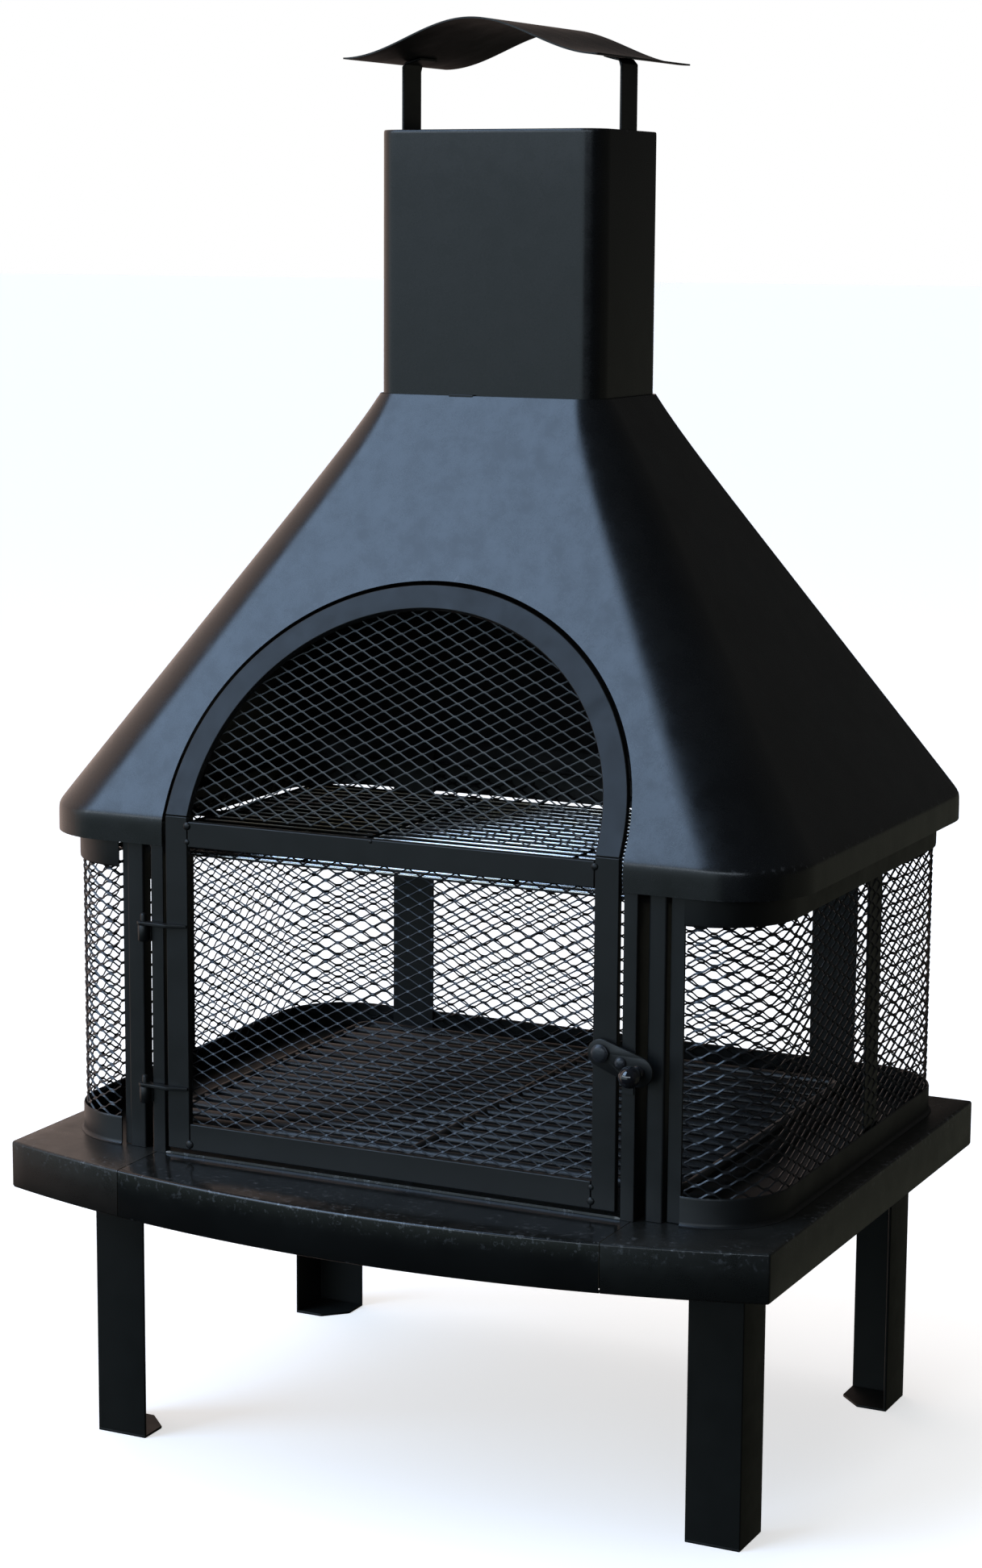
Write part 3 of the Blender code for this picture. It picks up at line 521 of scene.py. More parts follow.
def painted(name, colour, roughness, peel=5e-6, wave=1.6e-4, dust=0.1, rub_and_highlight_amount=0.4, soot_amount=0.0, coat=0.0,
            coat_roughness=0.1, specular=0.5):
    """Black stove paint: sprayed skin, rubbing and a painted highlight along edges and folds, dust on top
    and soot where the fire reaches.
    """
    made = bpy.data.materials.new(name)
    made.use_nodes = True
    net = Net(made.node_tree)
    shader = made.node_tree.nodes["Principled BSDF"]
    base = net.use(PAINT, Color=colour, Roughness=roughness, Peel=peel, Wave=wave)
    height = base["Height"]
    sooty = base
    if soot_amount:
        sooty = net.use(SOOT, Color=base["Color"], Roughness=base["Roughness"], Amount=soot_amount)
        height = net.math("ADD", height, sooty["Height"])
    # Lighter, more metallic rims and folds: paint rubbing, and on folds a painted highlight
    rub_and_highlight = net.use(RUB_AND_HIGHLIGHT, Color=sooty["Color"], Roughness=sooty["Roughness"], Amount=rub_and_highlight_amount)
    dusty = net.use(DUST, Color=rub_and_highlight["Color"], Roughness=rub_and_highlight["Roughness"], Amount=dust)
    bump = net.add("ShaderNodeBump", {"Height": height, "Strength": 1.0, "Distance": 1.0})
    for socket, value in (("Base Color", dusty["Color"]), ("Roughness", dusty["Roughness"]),
                          ("Metallic", rub_and_highlight["Metal"]), ("Normal", bump.outputs["Normal"])):
        made.node_tree.links.new(value, shader.inputs[socket])
    shader.inputs["Coat Weight"].default_value = coat
    shader.inputs["Specular IOR Level"].default_value = specular
    shader.inputs["Coat Roughness"].default_value = coat_roughness
    return made


def chromed(name):
    """Bright chrome on wire: fine drawing marks, a straw and blue heat tint, and a little soot."""
    made = bpy.data.materials.new(name)
    made.use_nodes = True
    net = Net(made.node_tree)
    shader = made.node_tree.nodes["Principled BSDF"]
    heat = net.noise(9.0, 3.0, 0.6)
    straw = net.mix(net.ramp(heat, 0.50, 0.68), (0.78, 0.79, 0.81), (0.70, 0.60, 0.42))
    tint = net.mix(net.ramp(heat, 0.66, 0.80), straw, (0.36, 0.40, 0.55))
    sooty = net.use(SOOT, Color=tint, Roughness=net.ramp(net.noise(160.0, 3.0), 0.3, 0.7, 0.10, 0.24),
                    Amount=0.16)
    marks = net.math("MULTIPLY", net.noise(1500.0, 2.0), 4e-6)
    bump = net.add("ShaderNodeBump", {"Height": net.math("ADD", marks, sooty["Height"]), "Strength": 1.0,
                                      "Distance": 1.0})
    shader.inputs["Metallic"].default_value = 1.0
    for socket, value in (("Base Color", sooty["Color"]), ("Roughness", sooty["Roughness"]),
                          ("Normal", bump.outputs["Normal"])):
        made.node_tree.links.new(value, shader.inputs[socket])
    return made


def fastened(name):
    """Blackened steel of bolts and rivets: dark oxide with small bright rubs and a grained skin."""
    made = bpy.data.materials.new(name)
    made.use_nodes = True
    net = Net(made.node_tree)
    shader = made.node_tree.nodes["Principled BSDF"]
    rub = net.ramp(net.noise(260.0, 4.0, 0.65), 0.58, 0.72)
    colour = net.mix(rub, (0.030, 0.032, 0.036), (0.24, 0.245, 0.26))
    dusty = net.use(DUST, Color=colour, Roughness=net.ramp(net.noise(500.0, 2.0), 0.3, 0.7, 0.26, 0.44),
                    Amount=0.1)
    bump = net.add("ShaderNodeBump", {"Height": net.math("MULTIPLY", net.noise(900.0, 3.0), 1.2e-5),
                                      "Strength": 1.0, "Distance": 1.0})
    for socket, value in (("Base Color", dusty["Color"]), ("Roughness", dusty["Roughness"]),
                          ("Metallic", net.ramp(rub, 0.0, 1.0, 0.35, 1.0)),
                          ("Normal", bump.outputs["Normal"])):
        made.node_tree.links.new(value, shader.inputs[socket])
    return made


HOOD = painted("hood_paint", (0.0045, 0.0050, 0.0055), 0.27, peel=4e-6, wave=2.2e-4, dust=0.05, rub_and_highlight_amount=0.25)
SATIN = painted("satin_black_paint", (0.0055, 0.0060, 0.0060), 0.41, peel=6e-6, wave=1.0e-4, dust=0.10,
                rub_and_highlight_amount=0.35, specular=0.4)
# Deck and ledge: their large edge amount paints a bright highlight along the folds, over some real paint
# rubbing
DECK_PAINT = painted("deck_paint", (0.0075, 0.0082, 0.0075), 0.30, peel=5e-6, wave=1.5e-4, dust=0.16,
                     rub_and_highlight_amount=0.9)
LEDGE = painted("ledge_gloss_paint", (0.0060, 0.0066, 0.0064), 0.16, peel=4e-6, wave=1.2e-4, dust=0.06,
                rub_and_highlight_amount=0.9)
LEG_PAINT = painted("leg_paint", (0.0058, 0.0064, 0.0058), 0.44, peel=6e-6, wave=1.0e-4, dust=0.10,
                    rub_and_highlight_amount=0.35, specular=0.2)
MESH = painted("mesh_paint", (0.0100, 0.0110, 0.0120), 0.34, peel=9e-6, wave=0.0, dust=0.05, rub_and_highlight_amount=0.0)
INSIDE = painted("sooted_paint", (0.0090, 0.0100, 0.0115), 0.42, peel=9e-6, wave=2.0e-4, dust=0.05, rub_and_highlight_amount=0.0,
                 soot_amount=0.7)
PAN_PAINT = painted("pan_paint", (0.0150, 0.0150, 0.0150), 0.50, peel=8e-6, wave=1.2e-4, dust=0.8, rub_and_highlight_amount=0.3,
                    soot_amount=0.3)
GRATE_PAINT = painted("fire_grate_paint", (0.0080, 0.0080, 0.0085), 0.26, peel=1.2e-5, wave=0.0, dust=0.35,
                      rub_and_highlight_amount=0.0, soot_amount=0.4)
ARCH = painted("arch_paint", (0.0055, 0.0060, 0.0060), 0.40, peel=6e-6, wave=1.6e-4, dust=0.10, rub_and_highlight_amount=0.55,
               specular=0.26)
# A lighter copy of the mesh paint for the mesh in the arch: a painted highlight standing for the sky caught
# on its strands
LIT_MESH = painted("arch_mesh_painted_highlight", (0.0800, 0.0870, 0.0900), 0.30, peel=9e-6, wave=0.0, dust=0.05,
                   rub_and_highlight_amount=0.0)
KNOB = painted("knob_gloss", (0.0080, 0.0085, 0.0105), 0.10, peel=2e-6, wave=0.0, dust=0.04, rub_and_highlight_amount=0.0,
               coat=0.6, coat_roughness=0.05)
CHROME = chromed("chrome_wire")
FASTENER = fastened("dark_fastener")


# ---------------------------------------------------------------- hood, chimney and cap

def hood_share(z):
    """How far up the slope a height is, from 0 at the rim to 1 at the collar, with a soft bend: half of
    the height, plus half of the root of its square and the square of the bend's size."""
    bend = 0.0024
    rise = z - RIM_TOP
    soft = 0.5 * (rise + np.sqrt(rise**2 + bend**2))
    return np.clip(soft / (HOOD_TOP - RIM_TOP), 0, 1)


def hood_hoop(z):
    """The hood's half width, front, back and corner radius at these heights: even shrinking from the rim to
    the collar, with corners that swell a little on the way and draw in again just under the collar."""
    share = hood_share(z)
    half = HOOD_HALF + (FLUE_HALF + COLLAR - HOOD_HALF) * share
    front = HOOD_FRONT + (FLUE_Y - FLUE_DEEP - COLLAR - HOOD_FRONT) * share
    back = HOOD_BACK + (FLUE_Y + FLUE_DEEP + COLLAR - HOOD_BACK) * share
    radius = HOOD_R + (COLLAR_R - HOOD_R) * share + 0.014 * share * (1 - share**10)
    return half, front, back, radius


def make_hood():
    """The hipped hood: hoops that shrink evenly from the rim to the collar. Below the arch's spring the
    front's rows run from the doorway's edge to the rounded corner. Above it the front is a fan from the
    arch, an ellipse in this view, out to the corner's edge and the collar."""
    spring = DOOR_BEND + ARCH_RISE * math.cos(SLOPE)
    bend = RIM_TOP + np.array([-0.0100, -0.0060, -0.0040, -0.0026, -0.0016, -0.0008, 0.0, 0.0008, 0.0016,
                               0.0026, 0.0042, 0.0070])
    low_rows = np.concatenate([[RIM_LOW, RIM_LOW + 0.0012], bend, [spring]])
    high_rows = np.concatenate([np.linspace(spring, HOOD_TOP - 0.0012, 46)[1:], [HOOD_TOP]])
    z = np.concatenate([low_rows, high_rows])
    half, front, back, radius = hood_hoop(z)
    around = hoop(half, front, back, radius, z)
    count = len(low_rows)
    t = np.linspace(0, 1, 13)[None]
    x = CUT_HALF + (half - radius - CUT_HALF)[:count, None] * t
    beside = np.stack(np.broadcast_arrays(x, front[:count, None], low_rows[:, None]), -1)
    edge = np.stack([(half - radius)[count - 1:], z[count - 1:]], -1)
    across = np.linspace(edge[-1, 0], 0, 15)[1:]
    edge = np.concatenate([edge, np.stack([across, np.full(14, z[-1])], -1)])
    turn = np.linspace(0, np.pi / 2, len(edge))
    arch = np.stack([CUT_HALF * np.cos(turn), spring + CUT_HALF * math.cos(SLOPE) * np.sin(turn)], -1)
    fan = arch[:, None] + (edge - arch)[:, None] * np.linspace(0, 1, 13)[None, :, None]
    fan[-1, :, 0] = 0
    above = np.stack([fan[..., 0], hood_hoop(fan[..., 1])[1], fan[..., 1]], -1)
    # Edge values: the bend at the rim's top is lightened, a painted highlight over some paint rubbing; the
    # rim's lower edge and the collar's edge get paint rubbing
    rub_and_highlight = (np.exp(-((z - RIM_TOP) / 0.0020)**2) + 0.7 * (z < RIM_LOW + 0.0006) +
            0.6 * (z > HOOD_TOP - 0.0006))
    lip = np.zeros(fan.shape[:2])
    lip[:, 0] = 0.8
    patches = [grid(around), grid(beside), grid(above), mirrored(grid(beside)), mirrored(grid(above))]
    rub_and_highlight_values = [np.repeat(rub_and_highlight, around.shape[1]), np.repeat(rub_and_highlight[:count], 13), lip.ravel()]
    piece("hood_shell", "frame", ["hood"], patches, HOOD, solid=False, sheet=SHEET,
          inner=INSIDE, edge=rub_and_highlight_values + rub_and_highlight_values[1:], sharp=50)
    inset = np.array([0.0014, 0.0060, 0.0125])
    level = np.full(3, RIM_LOW + 0.0012)
    hem = hoop(HOOD_HALF - inset, HOOD_FRONT + inset, HOOD_BACK - inset, HOOD_R - inset, level)
    piece("hood_hem", "frame", [], [grid(hem)], SATIN, solid=False, sheet=0.0008)


def make_chimney():
    """The chimney: a rounded square tube with a turned-in top rim, a lock seam down its back and a tab that
    holds it on the hood."""
    z = np.array([FLUE_LOW, FLUE_LOW + 0.01, HOOD_TOP, 0.90, 0.95, 1.00, FLUE_HIGH - 0.0030,
                  FLUE_HIGH - 0.0010, FLUE_HIGH - 0.0002, FLUE_HIGH])
    draw_in = np.array([0, 0, 0, 0, 0, 0, 0, 0.0001, 0.0005, 0.0010])
    around = hoop(FLUE_HALF - draw_in, FLUE_Y - FLUE_DEEP + draw_in, FLUE_Y + FLUE_DEEP - draw_in,
                  FLUE_R - draw_in, z)
    points, faces = grid(around, close_columns=True)
    rub_and_highlight = np.repeat((z > FLUE_HIGH - 0.0015) * 1.0, around.shape[1])
    piece("chimney_tube", "frame", ["chimney"], [(points, faces)], HOOD, solid=False,
          sheet=SHEET, inner=INSIDE, edge=[rub_and_highlight], sharp=50)
    y = FLUE_Y + FLUE_DEEP
    seam = prism(fillet([(-0.0045, y - 0.0005), (0.0045, y - 0.0005), (0.0045, y + 0.0016),
                         (-0.0045, y + 0.0016)],
                        0.0008), [HOOD_TOP + 0.002, HOOD_TOP + 0.003, FLUE_HIGH - 0.003, FLUE_HIGH - 0.002],
                 [0.0008, 0, 0, 0.0008])
    piece("chimney_seam", "frame", [], [skin(seam)], HOOD)
    front = FLUE_Y - FLUE_DEEP
    tab = block((-0.0300, front - COLLAR - 0.0005, HOOD_TOP - 0.0012),
                (-0.0090, front + 0.0004, HOOD_TOP + 0.0010))
    piece("chimney_tab", "frame", [], [tab], SATIN, bevel=0.0005)


def cap_height(x):
    """The cap's upper side: a raised cosine, flat at both edges and highest in the middle."""
    return CAP_EDGE + CAP_RISE * (1 + np.cos(np.pi * x / CAP_HALF)) / 2


def make_cap():
    """The wave-bent rain cap and the two flat straps that carry it inside the chimney."""
    x = np.linspace(-CAP_HALF, CAP_HALF, 57)
    y = np.linspace(CAP_Y - CAP_DEEP, CAP_Y + CAP_DEEP, 13)
    xx, yy = np.meshgrid(x, y)
    surface = np.stack([xx, yy, cap_height(xx)], -1)
    rim = (np.abs(np.abs(xx) - CAP_HALF) < 1e-6) | (np.abs(np.abs(yy - CAP_Y) - CAP_DEEP) < 1e-6)
    piece("cap_sheet", "frame", ["cap"], [grid(surface)], HOOD, solid=False, sheet=SHEET,
          inner=INSIDE, edge=[rim.ravel() * 1.0], sharp=60)
    outer = FLUE_HALF - SHEET - GAP
    tab = outer - np.linspace(0, 0.0160, 6)
    upper = np.stack([tab, cap_height(tab) - SHEET - GAP], -1)
    upper[0] += (0, -0.0012)
    outline = np.concatenate([[[outer, STRAP_LOW]], upper[:1] - (0, 0.002), upper[1:],
                              upper[:0:-1] - (0, BAR),
                              [[outer - BAR, upper[0, 1] - 0.0050], [outer - BAR, STRAP_LOW]]])
    width = np.array([-0.5, 0.5]) * STRAP + FLUE_Y - 0.004
    rings = np.stack([np.stack([outline[:, 0], np.full(len(outline), y), outline[:, 1]], -1) for y in width])
    for side, patch in (("right", skin(rings)), ("left", mirrored(skin(rings)))):
        piece("cap_strap_bar_" + side, "frame", ["cap_strap_" + side], [patch], SATIN,
              bevel=0.0005, sharp=40)


# ---------------------------------------------------------------- deck and ash pan front

def bow(x):
    """The front edge of the deck: a circle's arc that bows forward."""
    return BOW_Y - np.sqrt(BOW_R**2 - x**2)


def folded_edge(path, outward, low, hem=0.0070):
    """The folded edge of a tray: from each path point, which lies a fold's radius inside the outline, the
    sheet turns down through a quarter circle, runs down the apron and turns in again to a hem."""
    path, outward = np.array(path, float), np.array(outward, float)
    turn = np.linspace(0, np.pi / 2, 6)
    out = np.concatenate([FOLD * np.sin(turn), [FOLD, FOLD, FOLD - 0.0010, FOLD - 0.0022, FOLD - hem]])
    drop = np.concatenate([DECK_TOP - FOLD * (1 - np.cos(turn)),
                           [DECK_TOP - 0.0150, low + 0.0022, low + 0.0006, low, low]])
    flat = path[None] + outward[None] * out[:, None, None]
    height = np.broadcast_to(drop[:, None, None], flat.shape[:2] + (1,))
    # Edge values: near the top of the fold a painted highlight with some paint rubbing; at the hem, paint
    # rubbing
    rub_and_highlight = np.exp(-((drop - DECK_TOP + 0.0012) / 0.0016)**2) + 0.8 * (np.abs(drop - low) < 0.0012)
    return np.concatenate([flat, height], -1), np.repeat(rub_and_highlight, len(path))


def corner_fan(point, start, end, steps=4):
    """One path point repeated, with its outward direction turning through a corner."""
    angles = np.linspace(start, end, steps + 1)
    return np.repeat([point], steps + 1, 0), np.stack([np.cos(angles), np.sin(angles)], -1)


def make_deck():
    """The folded deck: a flat top with the ash pan's notch and hole, and a folded edge all round but the
    notch. The top's grid follows the bowed front; its missing cells are the notch and the hole."""
    side = DECK_HALF - FOLD
    xs = np.unique(np.concatenate([np.linspace(-side, -SEAM_X, 9), np.linspace(-SEAM_X, SEAM_X, 15),
                                   np.linspace(SEAM_X, side, 9), [-ASH_HOLE_HALF, ASH_HOLE_HALF]]))
    ys = np.array([LEDGE_BACK + GAP, ASH_HOLE_FRONT, ASH_HOLE_BACK, DECK_BACK - FOLD])
    front = bow(xs) + FOLD
    rows = np.concatenate([front[None], np.repeat(ys[:, None], len(xs), 1)])
    top = np.stack([np.broadcast_to(xs, rows.shape), rows, np.full(rows.shape, DECK_TOP)], -1)
    cells = quads(*rows.shape)
    middle = top.reshape(-1, 3)[cells].mean(1)
    notch = (np.abs(middle[:, 0]) < SEAM_X) & (middle[:, 1] < LEDGE_BACK)
    hole = ((np.abs(middle[:, 0]) < ASH_HOLE_HALF) & (middle[:, 1] > ASH_HOLE_FRONT) &
            (middle[:, 1] < ASH_HOLE_BACK))
    flat = (top.reshape(-1, 3), [cells[~(notch | hole)]])
    wing = xs[xs > SEAM_X - 1e-6]
    lean = np.arcsin(wing / BOW_R)
    right = [(np.stack([wing, bow(wing) + FOLD], -1), np.stack([np.sin(lean), -np.cos(lean)], -1)),
             corner_fan((side, bow(side) + FOLD), lean[-1] - np.pi / 2, 0.0),
             (np.stack([np.full(4, side), ys], -1), np.repeat([[1.0, 0.0]], 4, 0)),
             corner_fan((side, ys[-1]), 0.0, np.pi / 2)]
    path = np.concatenate([p for p, _ in right])
    outward = np.concatenate([n for _, n in right])
    across = xs[::-1]
    turn = np.array([-1.0, 1.0])
    path = np.concatenate([path, np.stack([across, np.full(len(xs), ys[-1])], -1), (path * turn)[::-1]])
    outward = np.concatenate([outward, np.repeat([[0.0, 1.0]], len(xs), 0), (outward * turn)[::-1]])
    edge, rub_and_highlight = folded_edge(path, outward, DECK_LOW)
    piece("deck_tray", "frame", ["deck"], [flat, grid(edge[::-1])], DECK_PAINT,
          solid=False, sheet=SHEET, edge=[np.zeros(len(flat[0])), rub_and_highlight[::-1]], sharp=50)


def make_pan_front():
    """The ash pan's front: the bowed middle of the deck's edge, a flat ledge and a raised lip behind it."""
    half = SEAM_X - 0.0008
    xs = np.unique(np.concatenate([np.linspace(-half, half, 31), [-LIP_HALF, LIP_HALF]]))
    front = bow(xs) + FOLD
    ys = [LEDGE_BACK - 0.0040, LEDGE_BACK - 0.0022, LEDGE_BACK - 0.0012, LEDGE_BACK - 0.0008]
    lift = np.array([0, 0, 0.0004, 0.0022])
    raised = np.abs(xs) < LIP_HALF + 1e-6
    rows = np.concatenate([front[None], np.repeat(np.array(ys)[:, None], len(xs), 1)])
    up = np.concatenate([[0.0], lift])[:, None] * raised[None]
    top = np.stack([np.broadcast_to(xs, rows.shape), rows, DECK_TOP + up], -1)
    lean = np.arcsin(xs / BOW_R)
    edge, rub_and_highlight = folded_edge(np.stack([xs, front], -1), np.stack([np.sin(lean), -np.cos(lean)], -1),
                             DECK_LOW)
    # The raised lip's top is lightened like the fold: a painted highlight along it, with some paint rubbing
    lip = np.repeat(np.array([0, 0, 0, 0.5, 1.0]), len(xs))
    piece("ledge_front", "ash_drawer", ["ash_pan_front"],
          [grid(top), grid(edge[::-1])], LEDGE, solid=False, sheet=SHEET, edge=[lip, rub_and_highlight[::-1]], sharp=50)
    y0, y1 = bow(half) + 0.0035, LEDGE_BACK - 0.0020
    z0, z1 = DECK_LOW + 0.0030, DECK_TOP - 0.0020
    cheek = fillet([(y0, z0), (y1, z0), (y1, z1), (y0, z1)], 0.0015)
    for side, faces_at in (("left", (-half - 0.0006, -half + 0.0006)), ("right", (half - 0.0012, half))):
        plate = [np.stack([np.full(len(cheek), x), cheek[:, 0], cheek[:, 1]], -1) for x in faces_at]
        piece("ledge_cheek_" + side, "ash_drawer", [], [skin(np.stack(plate))], LEDGE,
              bevel=0.0003)


def make_ash_pan():
    """The pan under the grate: rounded corners, leaning walls and a rim rolled outwards."""
    z = np.array([PAN_LOW, PAN_LOW + 0.0010, PAN_LOW + 0.0035, PAN_TOP - 0.0040, PAN_TOP - 0.0014,
                  PAN_TOP - 0.0002, PAN_TOP])
    inset = np.array([0.0060, 0.0030, 0.0022, 0.0012, 0.0012, 0.0008, 0.0])
    walls = hoop(PAN_X - inset, PAN_FRONT + inset, PAN_BACK - inset, 0.012, z, 5)
    floor = np.arange(walls.shape[1])[None, ::-1]
    points, faces = grid(walls, close_columns=True)
    piece("ash_tray", "ash_drawer", ["ash_pan"], [(points, faces + [floor])], PAN_PAINT,
          solid=False,
          sheet=0.0010, edge=[np.repeat((z > PAN_TOP - 0.0015) * 1.0, walls.shape[1])], sharp=50)


def make_runners():
    """The two folded runners under the deck that the pan slides on."""
    edge, top, foot = PAN_X + 0.0008, DECK_TOP - SHEET - GAP, PAN_LOW - GAP
    outline = [(edge, top), (edge, foot), (edge - 0.0120, foot), (edge - 0.0120, DECK_LOW),
               (edge + SHEET, DECK_LOW), (edge + SHEET, top)]
    outline = fillet(outline, 0.0005, 2)
    rings = np.stack([np.stack([outline[:, 0], np.full(len(outline), y), outline[:, 1]], -1)
                      for y in (PAN_FRONT + 0.005, PAN_BACK)])
    for side, patch in (("right", skin(rings)), ("left", mirrored(skin(rings)))):
        piece("runner_" + side, "frame", ["pan_runner_" + side], [patch], SATIN)


# ---------------------------------------------------------------- legs

def make_legs():
    """Angle legs with a rolled outer corner, a flange under the deck, a foot plate with a cut corner, and
    the bolt through the deck."""
    top = DECK_TOP - SHEET - GAP
    for side, sx in (("left", -1), ("right", 1)):
        for end, y, dy in (("front", LEG_FRONT, 1), ("rear", LEG_BACK, -1)):
            name = end + "_" + side
            x, dx = sx * LEG_X, -sx
            corner = fillet([(0, 0), (FLANGE, 0), (FLANGE, LEG_WALL), (LEG_WALL, LEG_WALL),
                             (LEG_WALL, FLANGE), (0, FLANGE)], 0.0012, 3)
            place = np.array([x, y]) + corner * np.array([dx, dy])
            flange = fillet([(0.0004, 0.0004), (FLANGE, 0.0004), (FLANGE, FLANGE), (0.0004, FLANGE)],
                            0.0030, 3)
            flange = np.array([x, y]) + flange * np.array([dx, dy])
            piece("angle_leg_" + name, "frame", ["leg_" + name],
                  [skin(prism(place, [FOOT, FOOT + 0.0004, top - 0.0002])),
                   skin(prism(flange, [top - LEG_WALL, top]))], LEG_PAINT, sharp=60)
            cut = FLANGE - FOOT_CUT
            tread = fillet([(0, 0), (FLANGE, 0), (FLANGE, cut), (cut, FLANGE), (0, FLANGE)], 0.0010, 2)
            tread = np.array([x, y]) + tread * np.array([dx, dy])
            piece("foot_plate_" + name, "frame", ["foot_" + name],
                  [skin(prism(tread, [0.0, 0.0004, FOOT - 0.0004, FOOT], [0.0003, 0, 0, 0.0003]))],
                  LEG_PAINT)
            bx, by = x + dx * FLANGE * 0.6, y + dy * FLANGE * 0.6
            shank = [(0.0012, top - 0.0080), (0.0028, top - 0.0072), (0.0028, DECK_TOP)]
            head = [(0.0056, DECK_TOP + GAP), (0.0058, DECK_TOP + 0.0006)]
            profile = np.concatenate([shank, head, dome(0.0056, 0.0022, DECK_TOP + 0.0008)[:-1],
                                      [(0.0006, DECK_TOP + 0.0029)]])
            points, faces = turned(profile, 20)
            piece("deck_bolt_" + name, "frame", ["leg_bolt_" + name],
                  [(points + np.array([bx, by, 0]), faces)], FASTENER)


# ---------------------------------------------------------------- firebox

def ring_line(inset, end_x, steps=14, from_seam=False):
    """The firebox's outline and its outward directions, from the front right end round the back to the front
    left end, or only from the front right end to the rear seam."""
    turn = np.linspace(0, np.pi / 2, steps + 1)
    angle = np.concatenate([turn - np.pi / 2, turn, turn + np.pi / 2, turn + np.pi])
    points = hoop(RING_HALF - inset, RING_FRONT + inset, RING_BACK - inset, RING_R - inset, 0.0,
                  steps)[0, :, :2]
    outward = np.stack([np.cos(angle), np.sin(angle)], -1)
    if from_seam:
        half = 2 * (steps + 1)
        points = np.concatenate([points[:half], [[REAR_SEAM, RING_BACK - inset]]])
        outward = np.concatenate([outward[:half], [[0.0, 1.0]]])
    else:
        points = np.concatenate([points, [[-end_x, RING_FRONT + inset]]])
        outward = np.concatenate([outward, [[0.0, -1.0]]])
    return (np.concatenate([[[end_x, RING_FRONT + inset]], points]),
            np.concatenate([[[0.0, -1.0]], outward]))


def make_bands():
    """The two bent bands. The lower one turns out to a small foot on the deck, the upper one is plain."""
    line, outward = ring_line(0, BAND_END)
    low, high = DECK_TOP + GAP, LOW_BAND_TOP
    profiles = {"lower_band": [(0.0022, low), (0.0012, low + 0.0003), (0.0004, low + 0.0014),
                               (0, low + 0.0034),
                               (0, high - 0.0016), (-0.0002, high - 0.0005), (-0.0006, high)],
                "upper_band": [(-0.0006, TOP_BAND_LOW), (-0.0002, TOP_BAND_LOW + 0.0005),
                               (0, TOP_BAND_LOW + 0.0016), (0, TOP_BAND_TOP)]}
    rub_and_highlight_values = {"lower_band": [0, 0, 0, 0, 0, 0.8, 0.8], "upper_band": [0.8, 0.8, 0, 0]}
    for name, profile in profiles.items():
        profile = np.array(profile)
        flat = line[None] + outward[None] * profile[:, None, :1]
        rows = np.concatenate([flat, np.broadcast_to(profile[:, None, 1:], flat.shape[:2] + (1,))], -1)
        piece(name + "_strip", "frame", [name], [grid(rows)], SATIN, solid=False,
              sheet=BAND, edge=[np.repeat(rub_and_highlight_values[name], len(line))], sharp=50)


def expanded(long_way, short_way, strand, gauge, lean, knots, width, height, keep):
    """Expanded metal on a flat sheet with coordinates s and v and a depth d. Strand j runs the long way at
    v = j * short_way / 2 and waves up and down by a quarter of the short way, less its own half width, so
    that its crests meet the next strand's troughs. The knots are one wave's points as (phase, height).
    Every strand leans back by the same angle, and crest and trough share one leaning bond. Returns the
    points as (s, v, d) and the faces of the stretches that keep(s, v) says are on the sheet."""
    phase, level = np.array(knots).T
    waves = int(width / long_way) + 3
    lines = int(height / (short_way / 2)) + 3
    j, k, c = np.meshgrid(np.arange(lines), np.arange(waves), np.arange(len(phase)), indexing="ij")
    s = (k + phase[c] + 0.5 * (j % 2) - 1) * long_way
    rise = short_way / 4 - strand * math.cos(lean) / 2 * 0.92
    v = (j - 0.5) * short_way / 2 + rise * level[c]
    d = -strand / 2 * math.sin(lean) * level[c]
    s, v, d = (a.reshape(lines, -1) for a in (s, v, d))
    wide = np.array([1, 1, -1, -1]) * strand / 2
    deep = np.array([1, -1, -1, 1]) * gauge / 2
    v4 = v[..., None] + wide * math.cos(lean) - deep * math.sin(lean)
    d4 = d[..., None] + wide * math.sin(lean) + deep * math.cos(lean)
    points = np.stack([np.broadcast_to(s[..., None], v4.shape), v4, d4], -1)
    columns = s.shape[1]
    on = keep(s, v)
    run = on[:, :-1] & on[:, 1:]
    row, col = np.nonzero(run)
    start = ((row * columns + col) * 4)[:, None, None]
    corner = np.arange(4)
    after = (corner + 1) % 4
    sides = np.stack([corner, after, after + 4, corner + 4], -1)[None] + start
    before = np.pad(run, ((0, 0), (1, 0)))[:, :-1][row, col]
    beyond = np.pad(run, ((0, 0), (0, 1)))[:, 1:][row, col]
    first = (start[:, 0] + corner[::-1])[~before]
    last = (start[:, 0] + 4 + corner)[~beyond]
    return points.reshape(-1, 3), [sides.reshape(-1, 4), first, last]


def straight_knots(bond):
    """A wave with short flat crests and troughs and straight strands between them."""
    return [(-bond, 1), (0.0, 1), (bond, 1), (0.5 - bond, -1), (0.5, -1), (0.5 + bond, -1)]


def curved_knots():
    """A wave with longer bonds and strands that curve softly into them."""
    return [(-0.085, 1.0), (0.085, 1.0), (0.165, 0.62), (0.335, -0.62), (0.415, -1.0), (0.585, -1.0),
            (0.665, -0.62), (0.835, 0.62)]


